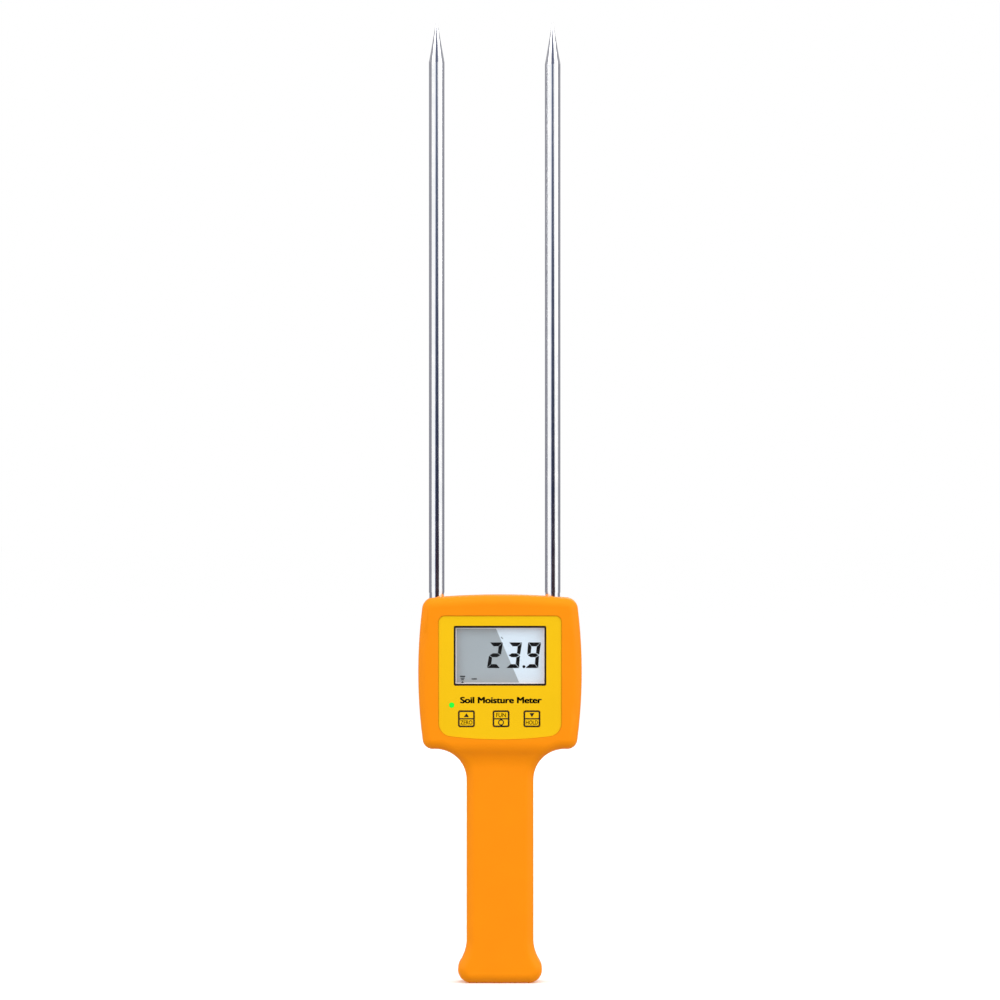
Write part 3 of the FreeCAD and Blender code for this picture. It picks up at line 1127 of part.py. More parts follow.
def make_probe_block():
    body = new_body("probe_block")
    low = (f"({PROBES['left']} - block_left_end)", "-block_front", BLOCK_BOTTOM)
    box(body, "block_solid", low, (f"({PROBES['right']} + block_right_end)", "block_back", BLOCK_TOP))
    dress(body, "Chamfer", lambda edge: True, "block_chamfer")
    for side, across in PROBES.items():
        place = (across, "0", f"{BLOCK_BOTTOM} - 1")
        rod(body, f"{side}_stud_hole", place, "stud_radius + running_gap", "block_height + 2", cut=True)
    screws = new_body("block_screws")
    for i, (across, height) in enumerate(BLOCK_SCREWS, start=1):
        place = (across, "-block_front", height)
        length = "block_front + block_back"
        rod(body, f"block_screw_hole_{i}", place, "screw_radius + fit_gap", length, ALONG_Y, cut=True)
        radius = "screw_head_radius + counterbore_gap"
        rod(body, f"block_screw_seat_{i}", place, radius, "block_counterbore", ALONG_Y, cut=True)
        screw(screws, f"block_screw_{i}", (across, BLOCK_SEAT, height), "block", head_behind=False)


def make_probe_hardware():
    """Under the block, on each stud: a ring terminal, a lock washer and a nut. Over it, a seal."""
    washers, nuts, seals = new_body("lock_washers"), new_body("probe_nuts"), new_body("probe_seals")
    for side, across in PROBES.items():
        washer_top = f"({BLOCK_BOTTOM} - terminal_thickness)"
        washer_bottom = f"({washer_top} - lock_washer_thickness)"
        ring(washers, f"{side}_washer", across, washer_bottom, "lock_washer_radius", "lock_washer_thickness")
        nut_bottom = f"({washer_bottom} - nut_height)"
        hexagon = new_sketch(nuts, f"{side}_nut", "XY_Plane", nut_bottom)
        corner, flat = "nut_across_flats / 2 / sqrt(3)", "nut_across_flats / 2"
        polygon(hexagon, [(f"{across} + {x}", y) for x, y in (
            (flat, f"-{corner}"), (flat, corner), ("0", f"2 * {corner}"),
            (f"-{flat}", corner), (f"-{flat}", f"-{corner}"), ("0", f"-2 * {corner}"),
        )])
        circle(hexagon, across, "0", "stud_radius")
        pad(nuts, hexagon, "nut_height")
        rod(seals, f"{side}_seal", (across, "0", SEAL_BOTTOM), f"{NECK} + seal_width", "seal_height")
        rod(seals, f"{side}_seal_bore", (across, "0", SEAL_BOTTOM), NECK, "seal_height", cut=True)
        probe_terminal(side, across, washer_top)


def ring(body, name, across, bottom, radius, height):
    """A flat ring round a probe's stud."""
    rod(body, name, (across, "0", bottom), radius, height)
    rod(body, f"{name}_hole", (across, "0", bottom), "stud_radius", height, cut=True)


def probe_terminal(side, across, bottom):
    """A ring terminal with its barrel pointing to the middle of the head, and the lead to the board."""
    terminal = new_body(f"probe_terminal_{side}")
    inward = INWARD[side]
    reaches = ("(terminal_radius - 1)", "(terminal_barrel_start + 1)")
    low_x, high_x = sorted((f"({across} + {inward}{reach})" for reach in reaches), key=number)
    low, high = (low_x, "-terminal_barrel_radius", bottom), (high_x, "terminal_barrel_radius", BLOCK_BOTTOM)
    box(terminal, f"{side}_neck", low, high)
    ring(terminal, f"{side}_ring", across, bottom, "terminal_radius", "terminal_thickness")
    barrel_end = f"({across} + {inward}(terminal_barrel_start + terminal_barrel_length))"
    start = f"({across} + {inward}terminal_barrel_start)" if side == "left" else barrel_end
    length = "terminal_barrel_length"
    rod(terminal, f"{side}_barrel", (start, "0", BARREL_HEIGHT), "terminal_barrel_radius", length, ALONG_X)

    turn = f"({barrel_end} + {inward}probe_lead_reach)"
    route = [(barrel_end, "0"), (turn, "0"), (turn, BOARD_BACK)]
    section = ("YZ_Plane", barrel_end, "0", BARREL_HEIGHT)
    lead(f"probe_lead_{side}", section, ("XY_Plane", BARREL_HEIGHT), route, "probe_lead_bend")


def lead(name, section, path, route, bend):
    """An insulated wire: its round section, swept along two straight runs and the bend between them."""
    body = new_body(name)
    plane, offset, across, up = section
    sk = new_sketch(body, f"{name}_section", plane, offset)
    circle(sk, across, up, "lead_radius")
    spine = new_sketch(body, f"{name}_route", *path)
    bent_line(spine, route, bend)
    wire = body.newObject("PartDesign::AdditivePipe", f"{name}_wire")
    wire.Profile = sk
    wire.Spine = (spine, ["Edge1", "Edge2", "Edge3"])


# The batteries and their contacts


def make_batteries():
    low_left = "(bay_bottom + contact_thickness + spring_length)"
    low_right = "(bay_bottom + contact_thickness)"
    places = [
        (f"-{CELL_OFFSET}", low_left, UPRIGHT),
        (f"-{CELL_OFFSET}", f"({low_left} + cell_length)", UPRIGHT),
        (CELL_OFFSET, f"({low_right} + cell_length)", UPSIDE_DOWN),
        (CELL_OFFSET, f"({low_right} + 2 * cell_length)", UPSIDE_DOWN),
    ]
    for i, (across, height, turn) in enumerate(places, start=1):
        cell = new_body(f"battery_{i}", at=(across, CELL_AXIS, height), turn=turn)
        can = "(cell_length - cell_button_height)"
        rod(cell, f"can_{i}", ("0", "0", "0"), "cell_radius", can)
        dress(cell, "Fillet", lambda edge: isinstance(edge.Curve, Part.Circle), "cell_edge")
        rod(cell, f"button_{i}", ("0", "0", f"({can} - 1)"), "cell_button_radius", "cell_button_height + 1")


def contact_plate(body, name, across, bottom):
    half = "contact_size / 2"
    low = (f"({across} - {half})", f"({CELL_AXIS} - {half})", bottom)
    high = (f"({across} + {half})", f"({CELL_AXIS} + {half})", f"({bottom} + contact_thickness)")
    box(body, name, low, high)


def make_battery_contacts():
    top_plate = f"({BAY_TOP} - contact_thickness)"
    for name, sign in (("positive", "-"), ("negative", "")):
        terminal = new_body(f"battery_terminal_{name}")
        across = f"({sign}{CELL_OFFSET})"
        contact_plate(terminal, f"{name}_plate", across, top_plate)
        low = (f"({across} - contact_tab_width / 2)", f"({TAB_BACK} - contact_thickness)", top_plate)
        tab_top = f"({BAY_TOP} + bay_wall + contact_tab_length)"
        high = (f"({across} + contact_tab_width / 2)", TAB_BACK, tab_top)
        box(terminal, f"{name}_tab", low, high)
    bridge = new_body("battery_bridge")
    half = "contact_size / 2"
    low = (f"(-{CELL_OFFSET} - {half})", f"({CELL_AXIS} - {half})", "bay_bottom")
    high = (f"({CELL_OFFSET} + {half})", f"({CELL_AXIS} + {half})", "(bay_bottom + contact_thickness)")
    box(bridge, "bridge_plate", low, high)
    battery_spring("lower", (f"-{CELL_OFFSET}", CELL_AXIS, "(bay_bottom + contact_thickness)"), UPRIGHT)
    battery_spring("upper", (CELL_OFFSET, CELL_AXIS, top_plate), UPSIDE_DOWN)
    for colour, sign in (("red", "-"), ("black", "")):
        across = f"({sign}{CELL_OFFSET})"
        out, start = f"({TAB_BACK} + lead_radius)", f"({BAY_TOP} + bay_wall + lead_radius)"
        route = [(out, start), (out, "lead_height"), (BOARD_BACK, "lead_height")]
        section = ("XY_Plane", start, across, out)
        lead(f"battery_lead_{colour}", section, ("YZ_Plane", across), route, "battery_lead_bend")


def battery_spring(name, at, turn):
    """A conical spring, wide end at the plate, as long as with a cell in place. Its wire is eight-sided."""
    body = new_body(f"battery_spring_{name}", at=at, turn=turn)
    sk = new_sketch(body, f"{name}_spring_wire", "XZ_Plane")
    near, far = "spring_wire", "(spring_wire * (sqrt(2) - 1))"
    corners = (
        ("+", near, "+", far), ("+", far, "+", near), ("-", far, "+", near), ("-", near, "+", far),
        ("-", near, "-", far), ("-", far, "-", near), ("+", far, "-", near), ("+", near, "-", far),
    )
    polygon(sk, [(f"spring_big_radius {a} {x}", f"spring_wire {b} {z}") for a, x, b, z in corners])
    coil = body.newObject("PartDesign::AdditiveHelix", f"{name}_spring_coil")
    coil.Profile = sk
    coil.ReferenceAxis = (sk, ["V_Axis"])
    coil.Mode = "pitch-height-angle"
    rise = "(spring_length - 2 * spring_wire)"
    bind(coil, "Height", rise)
    bind(coil, "Pitch", f"{rise} / spring_turns")
    bind(coil, "Angle", f"-atan((spring_big_radius - spring_small_radius) / {rise})")


def make_rear_label():
    label = new_body("rear_label")
    sk = new_sketch(label, "label_outline", "XZ_Plane", f"-({BACK} - label_recess)")
    width, height = "(label_width - 2 * fit_gap)", "(label_height - 2 * fit_gap)"
    rounded_rectangle(sk, ("0", "(head_top - label_drop)"), width, height, "label_corner - fit_gap")
    pad(label, sk, "label_film", reverse=True)


def check(things):
    """Stops the build if any object failed to compute or has no valid shape."""
    for thing in doc.Objects:
        if "Invalid" in thing.State or "Error" in thing.State:
            raise RuntimeError(f"{thing.Name} did not compute")
    for thing in things:
        if thing.Shape.isNull() or not thing.Shape.isValid() or not thing.Shape.Solids:
            raise RuntimeError(f"{thing.Label} has no valid solid")


fill_sheet()
front_form, back_form = make_housing_forms()
make_front_cover(front_form)
make_rear_cover(back_form)
make_battery_door(back_form)
make_cover_screws()
make_face_overlay()
make_display()
make_keys()
make_indicator()
make_main_board()
make_board_parts()
make_probes()
make_probe_block()
make_probe_hardware()
make_batteries()
make_battery_contacts()
make_rear_label()
doc.recompute()
check(nodes)

os.makedirs("parts", exist_ok=True)
for node in nodes:
    node.Shape.exportStep(f"parts/{node.Label}.step")
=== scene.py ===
import math

import bmesh
import bpy
from mathutils import Matrix, Vector


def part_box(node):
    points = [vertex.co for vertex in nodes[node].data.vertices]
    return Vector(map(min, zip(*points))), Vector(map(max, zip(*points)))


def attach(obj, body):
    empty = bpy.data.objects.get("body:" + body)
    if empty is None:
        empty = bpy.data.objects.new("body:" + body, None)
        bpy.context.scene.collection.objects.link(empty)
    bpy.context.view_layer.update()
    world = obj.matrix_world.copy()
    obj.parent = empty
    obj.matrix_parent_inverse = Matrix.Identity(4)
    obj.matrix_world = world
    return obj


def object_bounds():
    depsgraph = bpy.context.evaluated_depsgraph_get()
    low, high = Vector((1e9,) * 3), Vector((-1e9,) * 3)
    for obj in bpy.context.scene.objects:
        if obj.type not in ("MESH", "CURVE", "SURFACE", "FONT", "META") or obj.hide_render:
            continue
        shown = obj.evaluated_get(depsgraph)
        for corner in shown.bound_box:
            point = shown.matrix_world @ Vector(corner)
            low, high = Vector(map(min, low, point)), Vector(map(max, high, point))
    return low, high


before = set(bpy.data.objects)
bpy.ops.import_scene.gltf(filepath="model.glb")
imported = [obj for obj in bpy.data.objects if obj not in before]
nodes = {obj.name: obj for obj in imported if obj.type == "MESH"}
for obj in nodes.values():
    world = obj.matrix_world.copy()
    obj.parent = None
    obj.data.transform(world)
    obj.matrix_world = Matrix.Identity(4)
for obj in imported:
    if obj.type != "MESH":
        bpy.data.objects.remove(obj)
cad_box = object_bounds()
MM = 0.001


def middle_of(node):
    """The middle of a node seen from the front, in millimetres."""
    low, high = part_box(node)
    return (low.x + high.x) / 2 / MM, (low.z + high.z) / 2 / MM


WINDOW = middle_of("display_window")
LABEL = middle_of("rear_label")


# Node materials. Object coordinates are the frame's own metres, so a pattern's sizes are real sizes.


def add(tree, kind, sockets=None, **settings):
    """A shader node with its settings made and its sockets given values or links."""
    made = tree.nodes.new("ShaderNode" + kind)
    for name, value in settings.items():
        setattr(made, name, value)
    for name, value in (sockets or {}).items():
        if isinstance(value, bpy.types.NodeSocket):
            tree.links.new(value, made.inputs[name])
        else:
            made.inputs[name].default_value = value
    return made


def calc(tree, operation, *values):
    return add(tree, "Math", dict(enumerate(values)), operation=operation).outputs[0]


def remap(tree, value, low, high, to_low=0.0, to_high=1.0):
    ends = {"Value": value, "From Min": low, "From Max": high, "To Min": to_low, "To Max": to_high}
    return add(tree, "MapRange", ends).outputs[0]


def blend(tree, factor, first, second):
    return add(tree, "Mix", {0: factor, 6: first, 7: second}, data_type="RGBA").outputs[2]


def place(tree, stretch=(1, 1, 1)):
    """Object coordinates, stretched."""
    coords = add(tree, "TexCoord").outputs["Object"]
    return add(tree, "Mapping", {"Vector": coords, "Scale": stretch}).outputs[0]


def noise(tree, size, detail=2.0, stretch=(1, 1, 1)):
    """Noise with features about size metres across."""
    sockets = {"Vector": place(tree, stretch), "Scale": 1 / size, "Detail": detail}
    return add(tree, "TexNoise", sockets).outputs[0]


def srgb(red, green, blue):
    """Linear colour of a screen colour given from 0 to 255."""
    parts = [c / 255 for c in (red, green, blue)]
    return tuple(c / 12.92 if c <= 0.04045 else ((c + 0.055) / 1.055) ** 2.4 for c in parts) + (1,)


def shade(colour, factor):
    return tuple(min(1, c * factor) for c in colour[:3]) + (1,)


def new_material(name):
    material = bpy.data.materials.new(name)
    material.use_nodes = True
    material.node_tree.nodes.clear()
    return material


def finish(name, colour, rough=(0.4, 0.5), grain=0.3 * MM, depth=4e-6, spread=0.08, patch=9 * MM,
           stretch=(1, 1, 1), edge=0, colour_from=None, glow=0, fixed=None):
    """A Principled material: colour in soft patches, uneven gloss, and a fine grain in its surface.
    grain and patch are sizes in metres, depth is the grain's height, spread is how far the patches darken,
    and rough is the range of the roughness. edge rounds sharp corners by that radius and rubs them paler,
    and glow lights the surface with its own colour. fixed are the shader's own plain values."""
    material = new_material(name)
    tree = material.node_tree
    patches = noise(tree, patch, 3)
    fine = noise(tree, grain, 4, stretch)
    if colour_from:
        colour = colour_from(tree)
        value = remap(tree, patches, 0.3, 0.7, 1 - spread, 1)
        shown = add(tree, "HueSaturation", {"Color": colour, "Value": value}).outputs[0]
    else:
        shown = blend(tree, remap(tree, patches, 0.3, 0.7), shade(colour, 1 - spread), colour)
    uneven = calc(tree, "MULTIPLY_ADD", fine, 0.4, calc(tree, "MULTIPLY", patches, 0.6))
    bump = {"Height": fine, "Strength": 1.0, "Distance": depth}
    if edge:
        soft = add(tree, "Bevel", {"Radius": edge}, samples=4).outputs[0]
        bump["Normal"] = soft
        flat = add(tree, "NewGeometry").outputs["Normal"]
        facing = add(tree, "VectorMath", {0: soft, 1: flat}, operation="DOT_PRODUCT").outputs["Value"]
        corner = remap(tree, facing, 0.97, 0.8)
        rubbed = calc(tree, "MULTIPLY", corner, remap(tree, patches, 0.35, 0.6, 0, 0.35))
        shown = blend(tree, rubbed, shown, shade(colour, 1.2))
    sockets = {
        "Base Color": shown,
        "Roughness": remap(tree, uneven, 0.35, 0.65, *rough),
        "Normal": add(tree, "Bump", bump).outputs[0],
        "Emission Color": shown,
        "Emission Strength": glow,
        **(fixed or {}),
    }
    shader = add(tree, "BsdfPrincipled", sockets)
    add(tree, "OutputMaterial", {"Surface": shader.outputs[0]})
    return material


def metal(name, colour, rough, **more):
    return finish(name, colour, rough, fixed={"Metallic": 1.0}, **more)


def within(tree, value, middle, half):
    """1 where value is within half of middle, else 0."""
    return calc(tree, "COMPARE", value, middle, half)


def split(tree):
    parts = add(tree, "SeparateXYZ", {"Vector": place(tree)}).outputs
    return parts[0], parts[1], parts[2]


def rod_finish():
    """Chrome plate polished round the rod, with faint streaks along it from being pushed into soil."""
    material = new_material("chrome_rod")
    tree = material.node_tree
    turned = noise(tree, 0.12 * MM, 2, (0.02, 0.02, 1))
    streaks = noise(tree, 0.25 * MM, 3, (1, 1, 0.012))
    smudges = noise(tree, 9 * MM, 4)
    height = calc(tree, "MULTIPLY_ADD", streaks, 0.6, calc(tree, "MULTIPLY", turned, 0.4))
    dull = calc(tree, "MULTIPLY_ADD", streaks, 0.4, calc(tree, "MULTIPLY", smudges, 0.6))
    normal = add(tree, "Bump", {"Height": height, "Strength": 0.5, "Distance": 3e-7}).outputs[0]
    smudged = remap(tree, smudges, 0.3, 0.7)
    sockets = {
        "Base Color": blend(tree, smudged, (0.90, 0.91, 0.93, 1), (0.96, 0.96, 0.97, 1)),
        "Metallic": 1.0,
        "Roughness": remap(tree, dull, 0.35, 0.7, 0.05, 0.13),
        "Normal": normal,
    }
    add(tree, "OutputMaterial", {"Surface": add(tree, "BsdfPrincipled", sockets).outputs[0]})
    return material


def window_finish():
    """Clear acrylic: it reflects more at a glance, and carries faint wiping marks."""
    material = new_material("clear_acrylic")
    tree = material.node_tree
    marks = noise(tree, 4 * MM, 4, (1, 1, 0.5))
    clear = add(tree, "BsdfTransparent", {"Color": (0.97, 0.98, 0.98, 1)})
    gloss = {"Color": (1, 1, 1, 1), "Roughness": remap(tree, marks, 0.35, 0.7, 0.0, 0.035)}
    mirror = add(tree, "BsdfGlossy", gloss)
    outside = calc(tree, "SUBTRACT", 1, add(tree, "NewGeometry").outputs["Backfacing"])
    amount = calc(tree, "MULTIPLY", add(tree, "Fresnel", {"IOR": 1.49}).outputs[0], outside)
    mixed = add(tree, "MixShader", {0: amount, 1: clear.outputs[0], 2: mirror.outputs[0]})
    add(tree, "OutputMaterial", {"Surface": mixed.outputs[0]})
    return material


# The slant and place of the edge of the painted glare on the display.
SHINE_SLOPE, SHINE_X = 0.431, 3.6347


def display_colours_painted_glare(tree):
    """Grey, paler to the right of a slanting line that is SHINE_X to the right of the window's middle. The
    paler side is a painted reflection, a glare lying on the display.
    """
    x, _, z = split(tree)
    line = (SHINE_SLOPE * WINDOW[1] + SHINE_X) * MM
    aside = calc(tree, "SUBTRACT", calc(tree, "MULTIPLY_ADD", z, SHINE_SLOPE, x), line)
    right = remap(tree, aside, -0.1 * MM, 0.1 * MM)
    return blend(tree, right, srgb(159, 166, 172), srgb(211, 222, 234))


def board_colours(tree):
    """Green solder mask, paler over the copper tracks under it."""
    across = noise(tree, 1.1 * MM, 0, (0.06, 1, 1))
    upward = noise(tree, 1.1 * MM, 0, (1, 1, 0.06))
    tracks = calc(tree, "MAXIMUM", within(tree, across, 0.5, 0.03), within(tree, upward, 0.5, 0.03))
    return blend(tree, tracks, (0.008, 0.075, 0.026, 1), (0.03, 0.19, 0.06, 1))


BUTTON_HEIGHT, BARE_END = 0.9 * MM, 0.35 * MM


def cell_finish(name, node, button_up):
    """A printed sleeve over a cell's can: dark, with a copper band at the plus end, a plus and a minus sign,
    and bare ends. from_end is measured from the can's plus end."""
    low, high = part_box(node)
    middle = (low + high) / 2
    up = 1 if button_up else -1
    can_end = (high.z if button_up else low.z) - up * BUTTON_HEIGHT
    other_end = low.z if button_up else high.z

    def colours(tree):
        x, y, z = split(tree)
        from_end = calc(tree, "MULTIPLY", calc(tree, "SUBTRACT", can_end, z), up)
        from_foot = calc(tree, "MULTIPLY", calc(tree, "SUBTRACT", z, other_end), up)
        aside = calc(tree, "ABSOLUTE", calc(tree, "SUBTRACT", x, middle.x))

        def patch(at, half_height, half_width):
            level = within(tree, from_end, at, half_height)
            return calc(tree, "MULTIPLY", level, calc(tree, "LESS_THAN", aside, half_width))

        band = calc(tree, "LESS_THAN", from_end, 12 * MM)
        stripe = within(tree, from_end, 12.4 * MM, 0.4 * MM)
        bare = calc(tree, "LESS_THAN", from_end, BARE_END)
        foot = calc(tree, "LESS_THAN", from_foot, BARE_END)
        face = calc(tree, "GREATER_THAN", y, middle.y)
        plus_at, minus_at, half_line, half_sign = 6 * MM, 38 * MM, 0.35 * MM, 1.5 * MM
        across = patch(plus_at, half_line, half_sign)
        plus = calc(tree, "MAXIMUM", across, patch(plus_at, half_sign, half_line))
        minus = patch(minus_at, half_line, half_sign)
        signs = calc(tree, "MULTIPLY", calc(tree, "MAXIMUM", plus, minus), face)
        sleeve = blend(tree, band, (0.012, 0.013, 0.016, 1), (0.52, 0.21, 0.06, 1))
        sleeve = blend(tree, calc(tree, "MAXIMUM", stripe, signs), sleeve, (0.75, 0.75, 0.73, 1))
        return blend(tree, calc(tree, "MAXIMUM", bare, foot), sleeve, (0.62, 0.62, 0.60, 1))

    return finish(name, (0, 0, 0, 1), (0.22, 0.34), 0.6 * MM, 3e-6, 0.1, 7 * MM, colour_from=colours,
                  fixed={"Metallic": 0.35, "Coat Weight": 0.4, "Coat Roughness": 0.12})


ORANGE = srgb(253, 145, 0)
YELLOW = srgb(243, 193, 6)
orange = finish("orange_moulding", ORANGE, (0.44, 0.56), 0.35 * MM, 7e-6, 0.04, 16 * MM, edge=0.35 * MM,
                fixed={"Specular IOR Level": 0.12})
yellow = finish("yellow_polycarbonate", YELLOW, (0.38, 0.5), 0.18 * MM, 2.5e-6, 0.025, 12 * MM,
                fixed={"Specular IOR Level": 0.12})
ink = finish("black_ink", (0.012, 0.009, 0.006, 1), (0.3, 0.42), 0.15 * MM, 1e-6, 0.3, 2 * MM)
lcd_black = finish("display_black", (0.006, 0.007, 0.008, 1), (0.25, 0.3), 0.2 * MM, 4e-7, 0.3, 3 * MM)
# The display glows a little with its own colour, which is painted light because the display is no lamp. Its
# grey is paler right of a slanting line, which is a painted reflection (glare).
lcd_grey_painted_glare_glow = finish("display_grey_painted_glare_glow", (0, 0, 0, 1), (0.3, 0.38), 0.12 * MM, 5e-7, 0.03, 14 * MM,
                  colour_from=display_colours_painted_glare, glow=0.34)
# The display's pale border line glows as well: a painted highlight just inside the window frame.
lcd_edge_painted_highlight = finish("display_border_painted_highlight", srgb(225, 230, 238), (0.3, 0.4), 0.12 * MM, 5e-7, 0.03, 5 * MM, glow=0.34)
silver = finish("silver_label_film", (0.62, 0.63, 0.64, 1), (0.28, 0.4), 0.2 * MM, 1e-6, 0.04, 8 * MM,
                stretch=(0.05, 1, 1), fixed={"Metallic": 0.75})
white = finish("white_moulding", (0.80, 0.80, 0.78, 1), (0.4, 0.5), 0.3 * MM, 4e-6, 0.04, 6 * MM,
               edge=0.15 * MM)
black = finish("black_moulding", (0.022, 0.022, 0.024, 1), (0.42, 0.55), 0.25 * MM, 6e-6, 0.25, 4 * MM,
               edge=0.15 * MM)
rubber = finish("black_rubber", (0.018, 0.018, 0.018, 1), (0.62, 0.78), 0.2 * MM, 8e-6, 0.3, 2 * MM)
lens = finish("green_lens", srgb(38, 240, 58), (0.12, 0.2), 0.2 * MM, 1e-6, 0.05, 1 * MM,
              fixed={"Emission Color": srgb(30, 245, 50), "Emission Strength": 0.35, "Coat Weight": 0.3})
board = finish("circuit_board", (0, 0, 0, 1), (0.25, 0.38), 0.5 * MM, 3e-6, 0.12, 6 * MM,
               colour_from=board_colours, fixed={"Coat Weight": 0.3})
zinc = metal("zinc_steel", (0.62, 0.63, 0.66, 1), (0.28, 0.42), grain=0.15 * MM, depth=2e-6, patch=1.5 * MM,
             edge=0.1 * MM)
nickel = metal("nickel_plate", (0.72, 0.69, 0.63, 1), (0.16, 0.3), grain=0.2 * MM, depth=1e-6, patch=2 * MM,
               stretch=(1, 1, 0.1))
tin = metal("tinned_brass", (0.74, 0.73, 0.70, 1), (0.22, 0.36), grain=0.15 * MM, depth=2e-6, patch=1.2 * MM)
red_sleeve = finish("red_insulation", (0.55, 0.015, 0.012, 1), (0.35, 0.5), 0.2 * MM, 3e-6, 0.12, 3 * MM)
black_sleeve = finish("black_insulation", (0.02, 0.02, 0.02, 1), (0.35, 0.5), 0.2 * MM, 3e-6, 0.2, 3 * MM)
white_sleeve = finish("white_insulation", (0.78, 0.78, 0.75, 1), (0.35, 0.5), 0.2 * MM, 3e-6, 0.08, 3 * MM)

FINISHES = {
    orange: ["front_cover", "rear_cover", "battery_door"],
    yellow: ["face_overlay", "key_zero", "key_function", "key_hold"],
    window_finish(): ["display_window"],
    lcd_grey_painted_glare_glow: ["lcd_glass"],
    white: ["lcd_frame", "status_led", "switch_plunger_zero", "switch_plunger_function",
            "switch_plunger_hold"],
    black: ["microcontroller", "surface_mount_parts", "switch_body_zero", "switch_body_function",
            "switch_body_hold", "probe_block"],
    rubber: ["connector_strips", "probe_seals"],
    lens: ["light_pipe"],
    board: ["main_board"],
    rod_finish(): ["probe_left", "probe_right"],
    zinc: ["cover_screws", "block_screws", "board_screws", "lock_washers", "probe_nuts"],
    nickel: ["battery_terminal_positive", "battery_terminal_negative", "battery_bridge",
             "battery_spring_upper", "battery_spring_lower"],
    tin: ["probe_terminal_left", "probe_terminal_right"],
    red_sleeve: ["battery_lead_red"],
    black_sleeve: ["battery_lead_black"],
    white_sleeve: ["probe_lead_left", "probe_lead_right"],
    silver: ["rear_label"],
}
for i, button_up in enumerate((True, True, False, False), 1):
    cell = f"battery_{i}"
    FINISHES[cell_finish(f"cell_sleeve_{i}", cell, button_up)] = [cell]
for material, names in FINISHES.items():
    for name in names:
        slots = nodes[name].material_slots
        if not slots:
            raise RuntimeError(f"{name} has no material slot")
        for slot in slots:
            slot.material = material


# Printed and displayed shapes: thin plates from outlines in millimetres, x to the right and z up.


def film(name, shapes, front, thick, material, body, facing=-1):
    """Thin plates that rise by thick from the plane y = front, to the front or, with facing 1, to the back.
    A shape is an outline, or a pair of outlines with as many points, the second a hole in the first."""
    bm = bmesh.new()
    for shape in shapes:
        loops = shape if isinstance(shape, tuple) else (shape,)
        rows = []
        for loop in loops:
            for y in (front, front + facing * thick):
                rows.append([bm.verts.new((x * MM, y, z * MM)) for x, z in loop])
        count = len(rows[0])
        pairs = [(rows[0], rows[1])]
        if len(loops) == 2:
            pairs += [(rows[2], rows[3]), (rows[0], rows[2]), (rows[1], rows[3])]
        else:
            bm.faces.new(rows[0])
            bm.faces.new(rows[1])
        for near, far in pairs:
            for i in range(count):
                j = (i + 1) % count
                bm.faces.new((near[i], near[j], far[j], far[i]))
    bmesh.ops.recalc_face_normals(bm, faces=bm.faces)
    mesh = bpy.data.meshes.new(name)
    bm.to_mesh(mesh)
    bm.free()
    keep(name, mesh, material, body)


def keep(name, mesh, material, body):
    """Adds a mesh as a piece of a body, with the material it is given."""
    mesh.materials.append(material)
    piece = bpy.data.objects.new(name, mesh)
    bpy.context.scene.collection.objects.link(piece)
    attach(piece, body)


def rounded(middle, width, height, radius, steps=6):
    """Outline of a rounded rectangle."""
    points = []
    for turn, (side, up) in enumerate(((1, 1), (-1, 1), (-1, -1), (1, -1))):
        centre_x = middle[0] + side * (width / 2 - radius)
        centre_z = middle[1] + up * (height / 2 - radius)
        for i in range(steps + 1):
            angle = math.radians(90 * (turn + i / steps))
            points.append((centre_x + radius * math.cos(angle), centre_z + radius * math.sin(angle)))
    return points


def frame_line(middle, width, height, radius, line):
    """A rounded rectangle drawn as a line inside its outer edge."""
    inner = max(radius - line, 0.05)
    return rounded(middle, width, height, radius), rounded(middle, width - 2 * line, height - 2 * line, inner)


def bar(middle, width, height):
    return rounded(middle, width, height, min(width, height) * 0.12, 2)


def moved(shape, by):
    """An outline, or an outline and its hole, moved by (x, z)."""
    if isinstance(shape, tuple):
        return tuple(moved(loop, by) for loop in shape)
    return [(x + by[0], z + by[1]) for x, z in shape]


def ring_of(middle, radius, sides, turn=0.0):
    return [(middle[0] + radius * math.cos(2 * math.pi * i / sides + turn),
             middle[1] + radius * math.sin(2 * math.pi * i / sides + turn)) for i in range(sides)]


def thickened(mesh, shift):
    """The letters four times over, moved apart, which makes their strokes wider."""
    bm = bmesh.new()
    for side in (-shift, shift):
        for up in (-shift / 2, shift / 2):
            mesh.transform(Matrix.Translation((side, up, 0)))
            bm.from_mesh(mesh)
            mesh.transform(Matrix.Translation((-side, -up, 0)))
    bm.to_mesh(mesh)
    bm.free()
    return mesh


def lettering(name, text, middle, width, height, front, material, body, bold=0.0, facing=-1):
    """Flat lettering fitted to width and height in millimetres."""
    curve = bpy.data.curves.new(name + "_text", "FONT")
    curve.body = text
    curve.extrude = 0.01
    curve.resolution_u = 6
    source = bpy.data.objects.new(name + "_source", curve)
    bpy.context.scene.collection.objects.link(source)
    bpy.context.view_layer.update()
    mesh = bpy.data.meshes.new_from_object(source.evaluated_get(bpy.context.evaluated_depsgraph_get()))
    bpy.data.objects.remove(source)
    if bold:
        mesh = thickened(mesh, bold)
    across = [v.co.x for v in mesh.vertices]
    upward = [v.co.y for v in mesh.vertices]
    scale_x = width * MM / (max(across) - min(across))
    scale_z = height * MM / (max(upward) - min(upward))
    centre = Vector(((max(across) + min(across)) / 2, (max(upward) + min(upward)) / 2))
    for v in mesh.vertices:
        x = middle[0] * MM - facing * (v.co.x - centre.x) * scale_x
        z = middle[1] * MM + (v.co.y - centre.y) * scale_z
        y = front + facing * (0 if v.co.z < 0 else PRINT)
        v.co = (x, y, z)
    mesh.name = name
    mesh.materials.clear()
    keep(name, mesh, material, body)


